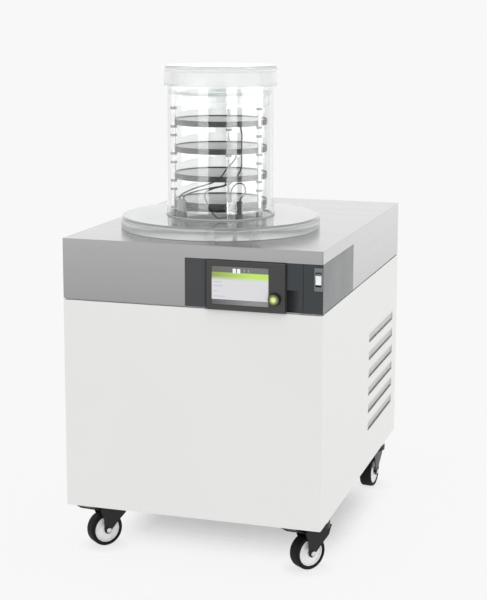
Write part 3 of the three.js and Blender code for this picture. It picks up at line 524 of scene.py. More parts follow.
bm = bmesh.new()
grid = []
for z, inset, down in rows:
    line = []
    for x, y in outline:
        if down is not None and x == cabinet_high.x:
            x -= louvre_depth * press_depth(down) * end_share(y)
        x = min(max(x, cabinet_low.x + inset), cabinet_high.x - inset)
        line.append(bm.verts.new((x, max(y, cabinet_low.y + inset), z)))
    grid.append(line)
for (upper, lower), (above, below) in zip(zip(grid, grid[1:]), zip(rows, rows[1:])):
    if above[0] == below[0] and above[2] is not None:
        continue  # the slit under a blade
    for (a, b), (d, c) in zip(zip(upper, upper[1:]), zip(lower, lower[1:])):
        bm.faces.new((a, d, c, b))
blade = cabinet_high.x - louvre_depth
wall = cabinet_high.x - sheet_thickness - 0.0002
front, back = louvre_front + louvre_end, louvre_back - louvre_end
behind = [(wall, front), (blade, front), (blade, back), (wall, back)]
for lip in (top - louvre_height for top in louvre_tops):
    foot = lip - louvre_tail
    for near, far in zip(behind, behind[1:]):
        corners = (*near, lip), (*near, foot), (*far, foot), (*far, lip)
        bm.faces.new([bm.verts.new(corner) for corner in corners])
bmesh.ops.remove_doubles(bm, verts=bm.verts, dist=1e-6)
bmesh.ops.dissolve_degenerate(bm, edges=bm.edges, dist=1e-6)
cabinet_sheet = piece_from("cabinet_sheet", bm, outwards=False)
solidify = cabinet_sheet.modifiers.new("wall", "SOLIDIFY")
solidify.thickness = sheet_thickness
solidify.offset = -1
solidify.use_even_offset = True
settle(cabinet_sheet)
shade(cabinet_sheet, 50)
finish_piece(cabinet_sheet, "frame", "white_paint", ["cabinet_wrap"], louvred_coat)


# ---------- rear panel, pan and deck plate
# The rear panel is a flat coated sheet with a block of vent slots, screwed on round its edge.
# The base pan and the deck plate that carries the head are zinc-coated sheet.
screw_radius = 0.0045
screw_height = 0.0018
screws_up = 5
screws_across = 4
screw_margin = 0.018
rear_low, rear_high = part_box("rear_panel")

white_coat = grained(
    "white_powder_coat", (0.82, 0.825, 0.81), (0.80, 0.805, 0.79), 0.42, 0.55, 1400, 2.5, 0.06
)
zinc = grained(
    "zinc_coat", (0.42, 0.43, 0.44), (0.32, 0.33, 0.34), 0.3, 0.5, 260, 60, 0.05, Metallic=1
)
screw_steel = grained(
    "screw_steel", (0.5, 0.5, 0.49), (0.38, 0.38, 0.375), 0.25, 0.4, 1500, 80, 0.05, Metallic=1
)
softened("rear_panel", 0.0005, 2, "frame", "white_paint", white_coat)
softened("base_pan", 0.0008, 2, "frame", "galvanised", zinc)
softened("deck_plate", 0.0004, 2, "frame", "galvanised", zinc)


def soft_corners(profile, radius, steps, closed):
    """Rounds each corner of a profile, except where it meets the axis."""
    rounded = []
    count = len(profile)
    for i, corner in enumerate(profile):
        if not closed and i in (0, count - 1):
            rounded.append(corner)
            continue
        here = Vector(corner)
        before = Vector(profile[i - 1]) - here
        after = Vector(profile[(i + 1) % count]) - here
        reach = min(radius, before.length / 2.01, after.length / 2.01)
        start = here + before.normalized() * reach
        end = here + after.normalized() * reach
        for k in range(steps + 1):
            t = k / steps
            rounded.append(tuple(start * (1 - t) ** 2 + here * 2 * t * (1 - t) + end * t * t))
    return rounded


def turned(name, profile, segments, at, radius=0, steps=3, closed=False, sharp=None):
    """A profile of (radius, height), its corners rounded, turned about Z and put in its place.

    A closed profile makes a ring. The piece is shaded where an angle is given.
    """
    if radius:
        profile = soft_corners(profile, radius, steps, closed)
    bm = bmesh.new()
    rings = []
    for k in range(segments):
        turn = 2 * pi * k / segments
        rings.append([bm.verts.new((r * cos(turn), r * sin(turn), z)) for r, z in profile])
    count = len(profile)
    for ring, after in zip(rings, rings[1:] + rings[:1]):
        for i in range(count if closed else count - 1):
            j = (i + 1) % count
            corners = [ring[i], after[i], after[j], ring[j]]
            if profile[i][0] == 0:
                corners = [ring[i], after[j], ring[j]]
            if profile[j][0] == 0:
                corners = [ring[i], after[i], ring[j]]
            bm.faces.new(corners)
    obj = piece_from(name, bm)
    obj.data.transform(at)
    if sharp:
        shade(obj, sharp)
    return obj


def facing_back(x, y, z):
    """The place of a piece whose own height points to the back."""
    return Matrix.Translation((x, y, z)) @ Matrix.Rotation(-pi / 2, 4, "X")


def end_coated(geometry, given, end):
    """Ends a geometry tree: copies are made real and get the material."""
    tree = end.id_data
    real = add_node(tree, "GeometryNodeRealizeInstances", Geometry=geometry)
    coat = add_node(
        tree, "GeometryNodeSetMaterial", Geometry=real.outputs[0], Material=given["Material"]
    )
    feed(end, Geometry=coat.outputs[0])


# Repeats the piece it is put on along a line.
in_line, given, end = new_group(
    "in_line",
    "GeometryNodeTree",
    {"Geometry": "Geometry", "Count": "Int", "Step": "Vector", "Material": "Material"},
    {"Geometry": "Geometry"},
)
line_points = add_node(in_line, "GeometryNodeMeshLine", Count=given["Count"], Offset=given["Step"])
copies = add_node(
    in_line, "GeometryNodeInstanceOnPoints", Points=line_points.outputs["Mesh"],
    Instance=given["Geometry"],
)
end_coated(copies.outputs["Instances"], given, end)


def repeat(obj, tree, **values):
    """Puts a geometry tree on a piece, sets its named inputs and applies it."""
    modifier = obj.modifiers.new(tree.name, "NODES")
    modifier.node_group = tree
    for item in tree.interface.items_tree:
        label = item.name.replace(" ", "_")
        if item.in_out == "INPUT" and label in values:
            modifier[item.identifier] = values[label]
    settle(obj)


left, right = rear_low.x + screw_margin, rear_high.x - screw_margin
low, high = rear_low.z + screw_margin, rear_high.z - screw_margin
across = (right - left) / (screws_across - 1)
upwards = (high - low) / (screws_up - 1)
for name, x, z, count, step in (
    ("rear_screws_low", left, low, screws_across, (across, 0, 0)),
    ("rear_screws_high", left, high, screws_across, (across, 0, 0)),
    ("rear_screws_left", left, low + upwards, screws_up - 2, (0, 0, upwards)),
    ("rear_screws_right", right, low + upwards, screws_up - 2, (0, 0, upwards)),
):
    screw = turned(
        name,
        [
            (0, screw_height * 0.35), (screw_radius * 0.45, screw_height * 0.35),
            (screw_radius * 0.5, screw_height), (screw_radius * 0.8, screw_height),
            (screw_radius, screw_height * 0.5), (screw_radius, 0), (0, 0),
        ],
        20,
        facing_back(x, rear_high.y, z),
        0.0003,
        2,
    )
    repeat(screw, in_line, Count=count, Step=step, Material=screw_steel)
    shade(screw, 35)
    finish_piece(screw, "frame", "bright_steel", [])


# ---------- stainless head
# A folded stainless box over the deck plate, ground with a fine horizontal grain and left bare.
# Its right front corner is cut out for the control panel.
across_grain = 1400  # lines a metre
along_grain = 9
ring_grain = 1500
line_depth = 0.0001
brushed = skin_group("brushed", 0.65, 2.0, 0.6)


def from_upright(x, y, point):
    """How far a place is from the upright line through a point."""
    flat = add_node(x.id_data, "ShaderNodeCombineXYZ", X=x, Y=y).outputs[0]
    apart = add_node(x.id_data, "ShaderNodeVectorMath", operation="DISTANCE")
    join(flat, apart.inputs[0])
    join((*point[:2], 0), apart.inputs[1])
    return apart.outputs["Value"]


def brushed_metal(name, light, dark, smooth, rough, bump=0.05, about=None):
    """Ground metal. The grain runs level round a box, or in rings about a point."""
    material, tree, shader = new_material(name)
    x, y, z = split(object_place(tree))
    if about is None:
        normal_x = split(add_node(tree, "ShaderNodeNewGeometry").outputs["Normal"])["X"]
        sideways = math("GREATER_THAN", math("ABSOLUTE", normal_x), 0.7)
        grain_x = product(x, ramp(sideways, 0, 1, along_grain, across_grain))
        grain_y = product(y, ramp(sideways, 0, 1, across_grain, along_grain))
        grain_z = product(z, across_grain)
    else:
        turn = math("ARCTAN2", math("SUBTRACT", y, about[1]), math("SUBTRACT", x, about[0]))
        grain_x = product(from_upright(x, y, about), ring_grain)
        grain_y = product(turn, 2)
        grain_z = product(z, ring_grain)
    along = add_node(tree, "ShaderNodeCombineXYZ", X=grain_x, Y=grain_y, Z=grain_z)
    lay_skin(
        shader, bump, line_depth, node_tree=brushed, Vector=along.outputs[0], Fine_Scale=1,
        Coarse_Scale=0.03, Light_Colour=light, Dark_Colour=dark, Smooth=smooth, Rough=rough,
    )
    feed(shader, Metallic=1)
    return material


head_low, head_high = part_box("head_shell")
head_steel = brushed_metal(
    "ground_stainless", (0.42, 0.42, 0.42), (0.40, 0.40, 0.40), 0.2, 0.26, 0.02
)
shader, *_, z = reopen(head_steel)
# Painted shade: the steel is darkened towards the lower edge of the head.
lower_shade = ramp(z, head_low.z, head_high.z - 0.01, 0.6, 0)
feed(shader, Base_Color=colour_mix(lower_shade, source(shader, "Base Color"), (0.30, 0.30, 0.302)))
softened("head_shell", 0.0012, 3, "frame", "brushed_steel", head_steel)


# ---------- control panel
# A dark moulding wraps the right front corner of the head. It has a bare field at the left,
# a scooped finger recess beside the display module, and a fine groove before the switch.
scoop_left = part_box("display_bezel")[1].x
scoop_width = 0.039
scoop_depth = 0.011
panel_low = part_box("control_panel")[0]
anthracite = grained(
    "anthracite", (0.042, 0.045, 0.047), (0.036, 0.039, 0.042), 0.22, 0.3, 1500, 8, 0.12
)
shader, place, x, y, _ = reopen(anthracite)
# Painted shade: the finger recess is darkened, more with its depth and most at its left; it is also
# made duller.
scoop_shade = product(
    ramp(y, panel_low.y + 0.0002, panel_low.y + 0.006, 0, 1),
    ramp(x, scoop_left + 0.012, scoop_left + 0.030, 1, 0, "SMOOTHSTEP"),
    math("LESS_THAN", y, panel_low.y + scoop_depth),
    math("LESS_THAN", x, scoop_left + scoop_width),
)
to_right = ramp(x, panel_low.x + 0.05, scoop_left + 0.02, 0, 0.66)
plain = colour_mix(to_right, source(shader, "Base Color"), (0.014, 0.022, 0.026))
feed(
    shader,
    Base_Color=colour_mix(scoop_shade, plain, (0.006, 0.007, 0.008)),
    Roughness=total(source(shader, "Roughness"), product(scoop_shade, 0.35)),
)
softened("control_panel", 0.0007, 3, "frame", "anthracite", anthracite)


# ---------- display module
# A moulding that stands out from the panel and carries the lit screen under flat glass.
# The screen shows plain fields of colour: a dark bar, a lime bar, a light page and a grey bar.
bezel_plastic = grained(
    "bezel_plastic", (0.043, 0.041, 0.040), (0.036, 0.034, 0.033), 0.28, 0.36, 1500, 8
)
softened("display_bezel", 0.0016, 4, "frame", "anthracite", bezel_plastic)

screen_low, screen_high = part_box("touch_screen")
screen_width = screen_high.x - screen_low.x
header_height = 0.016
lime_height = 0.020
footer_height = 0.014
lime_top = screen_high.z - screen_low.z - header_height
lime_low = lime_top - lime_height
header_colours = (0.10, 0.105, 0.08), (0.13, 0.14, 0.145)
lime_colours = (0.22, 0.30, 0.07), (0.43, 0.62, 0.11)
footer_colours = (0.07, 0.075, 0.078), (0.20, 0.205, 0.21)
page_colour = (0.56, 0.56, 0.58)
mark_colour = (0.42, 0.42, 0.45)
square_colour = (0.72, 0.73, 0.74)
tick_colour = (0.26, 0.27, 0.28)

screen_glass, tree, shader = new_material("lit_screen")
place = object_place(tree)
x, _, z = split(place)
screen_x = math("SUBTRACT", x, screen_low.x)
screen_z = math("SUBTRACT", z, screen_low.z)


def drawn(fields, colour, x0, z0, width, height):
    """The fields with a rectangle on them, in metres from the screen's lower left corner."""
    inside = product(
        math("GREATER_THAN", screen_x, x0), math("LESS_THAN", screen_x, x0 + width),
        math("GREATER_THAN", screen_z, z0), math("LESS_THAN", screen_z, z0 + height),
    )
    return colour_mix(inside, fields, colour)


to_right = ramp(screen_x, 0, screen_width * 0.7, 0, 1)
header, lime_bar, footer = (
    colour_mix(to_right, *colours) for colours in (header_colours, lime_colours, footer_colours)
)
fields = colour_mix(math("LESS_THAN", screen_z, footer_height), page_colour, footer)
fields = colour_mix(ramp(screen_z, lime_low - 0.002, lime_low + 0.009, 0, 1), fields, lime_bar)
fields = colour_mix(math("GREATER_THAN", screen_z, lime_top), fields, header)
for width, up in ((0.024, 0.060), (0.026, 0.049), (0.010, 0.035), (0.032, 0.021)):
    fields = drawn(fields, mark_colour, 0.005, up, width, 0.0022)
middle = screen_width * 0.44
for start in (middle - 0.0105, middle + 0.0015):
    fields = drawn(fields, square_colour, start, lime_top - 0.001, 0.009, 0.012)
for start in (middle + 0.020, middle + 0.032):
    fields = drawn(fields, tick_colour, start, lime_top + 0.003, 0.003, 0.007)
feed(
    shader,
    Base_Color=fields,
    Emission_Color=fields,
    Emission_Strength=0.25,
    Roughness=speckle(place, 900.0, 2.0, 0.3, 0.7, 0.08, 0.14),
)
softened("touch_screen", 0.0004, 2, "frame", "screen", screen_glass)


# ---------- selector knob
# A black turning knob, slightly tapered and finely ribbed for grip, on a spindle in the module.
# A lime cap is let into its face, brightest in the middle.
knob_low, knob_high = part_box("selector_knob")
cap_low, cap_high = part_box("knob_cap")
knob_middle = centre_of("selector_knob")
knob_height = 0.012
spindle_radius = 0.003
spindle_length = knob_high.y - knob_low.y - knob_height
knob_face_radius = 0.0155
knob_ribs = 36
rib_depth = 0.018  # as a share of the radius


def half_width(node):
    """Half of a solid's width, the radius of a round one."""
    low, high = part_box(node)
    return (high.x - low.x) / 2


def stepped(radius, height, *moves):
    """A square-cornered profile, from radii and heights in turn."""
    profile = [(radius, height)]
    for number, move in enumerate(moves):
        radius, height = (radius, move) if number % 2 else (move, height)
        profile.append((radius, height))
    return profile


knob_radius = half_width("selector_knob")
cap_radius = half_width("knob_cap")
cap_thickness = cap_high.y - cap_low.y
seat_radius = cap_radius + 0.0002
seat_height = knob_height - cap_thickness - 0.0003
knob_place = Matrix.Translation((knob_middle.x, knob_low.y + knob_height, knob_middle.z))
on_knob = knob_place @ Matrix.Rotation(pi / 2, 4, "X")

knob = turned(
    "knob_body",
    stepped(0, -spindle_length, spindle_radius, 0, knob_radius)
    + [(knob_radius * 0.965, knob_height * 0.4)]
    + stepped(knob_face_radius, knob_height, seat_radius, seat_height, 0),
    knob_ribs * 4,
    Matrix(),
    0.0008,
)
for vertex in knob.data.vertices:
    if hypot(vertex.co.x, vertex.co.y) > knob_face_radius * 1.005 and vertex.co.z > 0.0012:
        turn = atan2(vertex.co.y, vertex.co.x) * knob_ribs
        vertex.co.xy *= 1 - rib_depth * (0.5 + 0.5 * cos(turn))
knob.data.transform(on_knob)
shade(knob, 50)
finish_piece(knob, "knob", "black_plastic", ["selector_knob"], black_moulding)

lime_plastic, tree, shader = new_material("lime_plastic")
place = object_place(tree)
from_middle = add_node(tree, "ShaderNodeVectorMath", operation="DISTANCE")
join(place, from_middle.inputs[0])
join((knob_middle.x, cap_low.y, knob_middle.z), from_middle.inputs[1])
outwards = ramp(from_middle.outputs["Value"], 0.004, 0.0105, 0, 1)
feed(
    shader,
    Base_Color=colour_mix(outwards, (0.80, 0.92, 0.36), (0.13, 0.17, 0.04)),
    Roughness=speckle(place, 700.0, 2.0, 0.3, 0.7, 0.28, 0.4),
)
knob_cap = turned(
    "knob_cap_dome",
    [
        (0, 0), (cap_radius, 0), (cap_radius, cap_thickness * 0.8),
        (cap_radius * 0.6, cap_thickness), (0, cap_thickness),
    ],
    64,
    on_knob @ Matrix.Translation((0, 0, knob_height - cap_thickness)),
    0.0006,
    sharp=50,
)
finish_piece(knob_cap, "knob", "lime", ["knob_cap"], lime_plastic)


# ---------- mains rocker
# A grey moulded frame is snapped into the panel near its corner. In it a grey barrel with a
# glossy white cap tips up and down on its pivot.
frame_plastic = grained(
    "switch_frame_plastic", (0.17, 0.178, 0.185), (0.14, 0.146, 0.152), 0.3, 0.4, 1500, 20
)
softened("switch_bezel", 0.0006, 3, "frame", "grey_plastic", frame_plastic)

joints = {joint["name"]: joint for joint in frame["joints"]}
rocker_pivot = Vector(joints["rocker_tilt"]["pos_m"])
barrel_radius = 0.0185
barrel_face = 0.0112  # from the pivot to the flat that carries the white cap
barrel_half_width = half_width("power_rocker")
barrel_reach = acos(barrel_face / barrel_radius)
bm = bmesh.new()
turns = [barrel_reach + (2 * pi - 2 * barrel_reach) * k / 36 for k in range(37)]
turns = [turn for turn in turns if cos(turn) > -0.2]
rims = []
for side in (-barrel_half_width, barrel_half_width):
    rim = [Vector((side, -barrel_radius * cos(turn), barrel_radius * sin(turn))) for turn in turns]
    rims.append([bm.verts.new(rocker_pivot + point) for point in rim])
for rim in rims:
    bm.faces.new(rim)
for (a, d), (b, c) in zip(zip(*rims), zip(*(rim[1:] + rim[:1] for rim in rims))):
    bm.faces.new((a, b, c, d))
barrel = piece_from("rocker_barrel", bm)
shade(barrel, 40)
finish_piece(barrel, "rocker", "grey_plastic", [], frame_plastic)

white_gloss = grained(
    "white_gloss_plastic", (0.90, 0.92, 0.93), (0.86, 0.88, 0.89), 0.18, 0.28, 1500, 30, 0.04
)
softened("power_rocker", 0.0008, 3, "rocker", "white_plastic", white_gloss)


# ---------- clear plate
# A thick round plate of polished acrylic lies on the head. Its port passes the vapour down to the
# cold trap, and a silicone ring under the plate seals the port against the steel.
plate_low, plate_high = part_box("base_plate")
plate_radius = half_width("base_plate")
plate_chamfer = 0.0006
plate_round = 0.012  # height of the plate's rounded upper edge
plate_round_width = 0.008
plate_tint = (0.76, 0.775, 0.77)
port_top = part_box("port_seal")[1].z
port_radius = 0.05
seal_width = 0.008
seal_outer = half_width("port_seal")
seal_inner = seal_outer - seal_width
seal_gap = 0.0003
cutter_reach = 0.01  # how far a cutter stands out of the plate


def upright(point):
    """The place of a piece that is turned about the upright line through a point."""
    return Matrix.Translation((point.x, point.y, 0))


on_chamber = upright(chamber)
on_port = upright(centre_of("port_seal"))

silicone, tree, shader = new_material("pale_silicone")
place = object_place(tree)
clouded = speckle(place, 260.0, 3.0, 0.35, 0.65, 0, 1)
feed(
    shader,
    Base_Color=colour_mix(clouded, (0.50, 0.52, 0.52), (0.60, 0.62, 0.61)),
    Roughness=speckle(place, 260.0, 3.0, 0.3, 0.7, 0.4, 0.55),
    Subsurface_Weight=0.15,
    Subsurface_Radius=(0.004, 0.004, 0.004),
)

plate_profile = [
    (0, plate_low.z), (plate_radius - plate_chamfer, plate_low.z),
    (plate_radius, plate_low.z + plate_chamfer),
]
for turn in (k * pi / 24 for k in range(13)):
    radius = plate_radius - plate_round_width * (1 - cos(turn))
    plate_profile.append((radius, plate_high.z - plate_round * (1 - sin(turn))))
plate = turned("clear_plate", plate_profile + [(0, plate_high.z)], 160, on_chamber)
cutter_foot = plate_low.z - cutter_reach
port_section = stepped(0, cutter_foot, port_radius, plate_high.z + cutter_reach, 0)
groove_inner, groove_outer = seal_inner - seal_gap, seal_outer + seal_gap
groove_section = stepped(groove_inner, cutter_foot, groove_outer, port_top + seal_gap, groove_inner)
cutters = (
    turned("port_cutter", port_section, 72, on_port),
    turned("groove_cutter", groove_section, 72, on_port, closed=True),
)
for cutter in cutters:
    cut = plate.modifiers.new(cutter.name, "BOOLEAN")
    cut.operation = "DIFFERENCE"
    cut.object = cutter
settle(plate)
for cutter in cutters:
    bpy.data.objects.remove(cutter)
shade(plate, 35)
cast_acrylic = clear_plastic("cast_acrylic", plate_tint, 0.06, 0.12, 0.8)
shader, _, x, y, z = reopen(cast_acrylic)
# Painted light: the plate is tinted grey, but towards its foot the rim is left untinted, so that
# the lower rim shows as a light band.
on_rim = ramp(from_upright(x, y, chamber), plate_radius - 0.006, plate_radius - 0.001, 0, 1)
rim_foot = ramp(z, plate_low.z + 0.015, plate_low.z + 0.024, 1, 0)
rim_painted_light = colour_mix(rim_foot, plate_tint, (0.99, 1.0, 0.995))
feed(shader, Base_Color=colour_mix(on_rim, plate_tint, rim_painted_light))
finish_piece(plate, "frame", "clear_acrylic", ["base_plate"], cast_acrylic)


def seal_ring(name, node, inner, body, at):
    """A silicone ring with softly rounded edges, where a seal's solid is."""
    low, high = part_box(node)
    section = stepped(inner, low.z, half_width(node), high.z, inner)
    ring = turned(name, section, 120, at, 0.0011, closed=True, sharp=60)
    finish_piece(ring, body, "seal", [node], silicone)


seal_ring("port_seal_ring", "port_seal", seal_inner, "frame", on_port)


# ---------- drum and lid
# The drum is a clear acrylic tube that stands on the plate on a silicone ring and is lifted off
# by hand. The clear lid sits on its rim, with a spigot inside the drum and a ring round it.
drum_low, drum_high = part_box("drum")
drum_wall = 0.005
drum_radius = half_width("drum")
drum_inner = drum_radius - drum_wall
lid_low, lid_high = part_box("lid")
lid_seal_low, lid_seal_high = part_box("lid_seal")
lid_radius = half_width("lid")
lid_round = 0.010
lid_foot = drum_high.z + seal_gap
lid_top_thickness = 0.018
hollow_top = lid_high.z - lid_top_thickness
spigot_radius = 0.139
spigot_wall = 0.023
spigot_inner = spigot_radius - spigot_wall
groove_depth = 0.003
groove_radius = spigot_radius - groove_depth
groove_low = lid_seal_low.z - seal_gap
groove_high = lid_seal_high.z + seal_gap

seal_ring("drum_foot_seal", "drum_seal", drum_inner, "drum", on_chamber)
seal_ring("lid_ring", "lid_seal", groove_radius + seal_gap, "lid", on_chamber)

drum_section = stepped(drum_inner, drum_low.z, drum_radius, drum_high.z, drum_inner)
drum = turned("drum_tube", drum_section, 160, on_chamber, 0.0007, closed=True, sharp=35)
finish_piece(drum, "drum", "clear_acrylic", ["drum"], acrylic)

lid_edge = [
    (lid_radius - lid_round * (1 - sin(turn)), lid_high.z - lid_round * (1 - cos(turn)))
    for turn in (pi / 2 * (1 - k / 8) for k in range(9))
]
lid_under = stepped(
    0, hollow_top, spigot_inner, lid_low.z, spigot_radius, groove_low, groove_radius, groove_high,
    spigot_radius, lid_foot, lid_radius, lid_high.z - lid_round,
)
lid_profile = soft_corners(lid_under, 0.0009, 3, False) + lid_edge[1:] + [(0, lid_high.z)]
lid = turned("lid_disc", lid_profile, 160, on_chamber, sharp=35)
lid_acrylic = clear_plastic("lid_acrylic", (0.93, 0.94, 0.935), 0.1, 0.16, 0.85)
shader, *_, z = reopen(lid_acrylic)
above_drum = ramp(z, drum_high.z - 0.002, drum_high.z + 0.002, 0, 1)
feed(shader, Roughness=product(source(shader, "Roughness"), above_drum))
finish_piece(lid, "lid", "clear_acrylic", ["lid"], lid_acrylic)


# ---------- shelf rack
# Four round shelves with a raised rim and a dark heated edge, on a thin plate, held between
# three bright rods. A pair of black collars clamps each shelf to each rod.
shelf_rim = 0.003
shelf_recess = 0.003
rod_radius = 0.005
rod_foot_radius = 0.008
rack_gap = 0.0004
collar_inner = rod_radius + 0.0001
collar_radius = 0.0085
collar_height = 0.007
collar_rise = 0.029
collar_gap = 0.0003
shelf_steel = brushed_metal(
    "turned_stainless", (0.54, 0.54, 0.525), (0.46, 0.46, 0.45), 0.24, 0.36, 0.05, chamber
)
dark_edge = grained(
    "dark_shelf_edge", (0.05, 0.05, 0.048), (0.035, 0.035, 0.034), 0.3, 0.4, 1200, 20
)
rod_steel = brushed_metal(
    "rod_stainless", (0.36, 0.36, 0.355), (0.30, 0.30, 0.295), 0.16, 0.24, 0.02, chamber
)

for node in ("shelf_1", "shelf_2", "shelf_3", "shelf_4"):
    low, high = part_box(node)
    radius = half_width(node)
    section = stepped(0, low.z, radius, high.z, radius - shelf_rim, high.z - shelf_recess, 0)
    shelf = turned(node + "_tray", section, 128, on_chamber, 0.0006, 2)
    for face in shelf.data.polygons:
        face.material_index = (face.center - chamber).xy.length > radius - shelf_rim * 1.3
    shade(shelf, 35)
    finish_piece(shelf, "frame", "bright_steel", [node], shelf_steel, dark_edge)

rack_low, rack_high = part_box("rack_plate")
rack_section = stepped(0, rack_low.z, half_width("rack_plate"), rack_high.z, 0)
rack_plate = turned("rack_plate_disc", rack_section, 128, on_chamber, 0.0004, 2, sharp=35)
finish_piece(rack_plate, "frame", "bright_steel", ["rack_plate"], shelf_steel)

rod_step = rack_low.z - rack_gap
first_low, first_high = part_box("shelf_1")
shelf_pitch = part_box("shelf_2")[1].z - first_high.z
for side in ("left", "right", "back"):
    node = f"rack_rod_{side}"
    low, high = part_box(node)
    on_rod = upright(centre_of(node))
    section = stepped(0, low.z, rod_foot_radius, rod_step, rod_radius, high.z, 0)
    rod = turned(f"rod_{side}", section, 32, on_rod, 0.0008, sharp=40)
    finish_piece(rod, "frame", "bright_steel", [node], rod_steel)
    under = first_low.z - collar_gap - collar_height
    for at, foot in (("under", under), ("over", first_high.z + collar_rise)):
        section = stepped(collar_inner, foot, collar_radius, foot + collar_height, collar_inner)
        collars = turned(f"collars_{at}_{side}", section, 28, on_rod, 0.0009, 2, closed=True)
        repeat(collars, in_line, Count=4, Step=(0, 0, shelf_pitch), Material=black_moulding)
        shade(collars, 40)
        finish_piece(collars, "frame", "black_plastic", [])


# ---------- castors
# Four swivel castors, black painted steel with solid rubber tyres on pale hubs. The two at the
# front have a brake pedal that is stepped on behind the wheel.
black_paint = grained(
    "black_castor_paint", (0.011, 0.011, 0.011), (0.006, 0.006, 0.006), 0.35, 0.5, 900, 20, 0.15,
    Specular_IOR_Level=0.35,
)
tyre_rubber = grained(
    "tyre_rubber", (0.006, 0.006, 0.006), (0.003, 0.003, 0.003), 0.55, 0.75, 700, 25, 0.25,
    Specular_IOR_Level=0.25,
)
bright_zinc = grained(
    "bright_zinc", (0.74, 0.74, 0.73), (0.64, 0.64, 0.63), 0.25, 0.4, 1500, 80, 0.05, Metallic=1
)
hub_plastic = grained(
    "hub_plastic", (0.90, 0.91, 0.90), (0.80, 0.81, 0.80), 0.35, 0.5, 900, 30, 0.08
)
tyre_radius = 0.05
tyre_half = 0.019  # half of its width
tyre_thickness = 0.011
tyre_inner = tyre_radius - tyre_thickness
tyre_shoulder = tyre_radius - 0.003
tyre_flat = tyre_radius * cos(pi / 24)
hub_half = 0.017
hub_boss = 0.013
hub_dish = 0.006
hub_rim = tyre_inner - 0.0008
axle_bore = 0.0063
axle_head_radius = 0.0076
axle_head_foot = 0.0252  # from the wheel's middle to the outer face of a fork cheek
axle_head_top = 0.0305
axle_head_crown = axle_head_top + 0.0012
mount_plate_thickness = 0.004
race_reach = 0.03  # the swivel race is what lies further out than this under the plate
corners = ("front_left", "front_right", "back_left", "back_right")


def both_sides(profile):
    """A profile that runs out to the middle plane, and its mirror image back."""
    return profile + [(r, -z) for r, z in reversed(profile)]


head_profile = [
    (0, axle_head_foot), (axle_head_radius, axle_head_foot), (axle_head_radius, axle_head_top),
    (axle_head_radius * 0.55, axle_head_crown), (0, axle_head_crown),
]
tyre_profile = both_sides(
    [(tyre_inner, -tyre_half), (tyre_shoulder, -tyre_half), (tyre_flat, 0.005 - tyre_half)]
)
hub_profile = both_sides(
    [
        (axle_bore, -hub_half), (hub_boss, -hub_half), (hub_boss + 0.003, hub_dish - hub_half),
        (hub_rim - 0.004, hub_dish - hub_half), (hub_rim - 0.002, -hub_half), (hub_rim, -hub_half),
    ]
)
for where in corners:
    node = f"castor_mount_{where}"
    mount = softened(node, 0.0008, 2, "frame", "black_steel", black_paint, bright_zinc)
    pin = centre_of(node)
    plate_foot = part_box(node)[1].z - mount_plate_thickness - 0.0005
    for face in mount.data.polygons:
        off_pin = (face.center - pin).xy.length
        face.material_index = face.center.z < plate_foot and off_pin > race_reach
    softened(f"castor_fork_{where}", 0.0006, 2, f"castor_{where}", "black_steel", black_paint)

    roll = joints[f"roll_{where}"]
    axle_turn = Vector((0, 0, 1)).rotation_difference(Vector(roll["axis"])).to_matrix().to_4x4()
    on_axle = Matrix.Translation(Vector(roll["pos_m"])) @ axle_turn
    for flip in (pi, 0):
        on_cheek = on_axle @ Matrix.Rotation(flip, 4, "X")
        head = turned(f"axle_head_{where}", head_profile, 32, on_cheek, 0.0012, sharp=45)
        finish_piece(head, f"castor_{where}", "bright_steel", [], bright_zinc)
    tyre = turned(f"tyre_{where}_tread", tyre_profile, 96, on_axle, 0.004, 4, closed=True, sharp=50)
    finish_piece(tyre, f"wheel_{where}", "tyre", [f"tyre_{where}"], tyre_rubber)
    hub = turned(f"hub_{where}_disc", hub_profile, 72, on_axle, 0.0012, closed=True, sharp=50)
    finish_piece(hub, f"wheel_{where}", "hub", [f"wheel_hub_{where}"], hub_plastic)
for where in corners[:2]:
    softened(f"brake_pedal_{where}", 0.0009, 3, f"pedal_{where}", "black_steel", black_paint)


# ---------- machinery inside
# The cold trap under the head, its coil, the compressor, the radiator with its fan, and the
# electrical box. They are closed in and finished plainly.
pot_low, pot_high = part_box("condenser_pot")
pot_radius = 0.15
pot_wall = 0.003
pot_inner = pot_radius - pot_wall
pot_flange = half_width("condenser_pot")
pot_flange_foot = pot_high.z - 0.004
pot_floor = pot_low.z + pot_wall
pot_steel = brushed_metal(
    "trap_stainless", (0.6, 0.6, 0.59), (0.5, 0.5, 0.49), 0.25, 0.38, 0.05, chamber
)
pot_section = stepped(
    0, pot_low.z, pot_radius, pot_flange_foot, pot_flange, pot_high.z, pot_inner, pot_floor, 0
)
pot = turned("condenser_pot_shell", pot_section, 96, on_chamber, 0.0012, 2, sharp=40)
finish_piece(pot, "frame", "bright_steel", ["condenser_pot"], pot_steel)

# Winds a tube into a level coil.
coil, given, end = new_group(
    "coil",
    "GeometryNodeTree",
    {
        "Geometry": "Geometry", "Turns": "Float", "Radius": "Float", "Height": "Float",
        "Tube Radius": "Float", "Place": "Vector", "Material": "Material",
    },
    {"Geometry": "Geometry"},
)
spiral = add_node(
    coil, "GeometryNodeCurveSpiral", Resolution=48, Rotations=given["Turns"],
    Start_Radius=given["Radius"], End_Radius=given["Radius"], Height=given["Height"],
)
section = add_node(
    coil, "GeometryNodeCurvePrimitiveCircle", Resolution=12, Radius=given["Tube Radius"]
)
sweep = add_node(
    coil, "GeometryNodeCurveToMesh", Curve=spiral.outputs["Curve"],
    Profile_Curve=section.outputs["Curve"], Fill_Caps=True,
)
lift = add_node(
    coil, "GeometryNodeTransform", Geometry=sweep.outputs["Mesh"], Translation=given["Place"]
)
end_coated(lift.outputs["Geometry"], given, end)

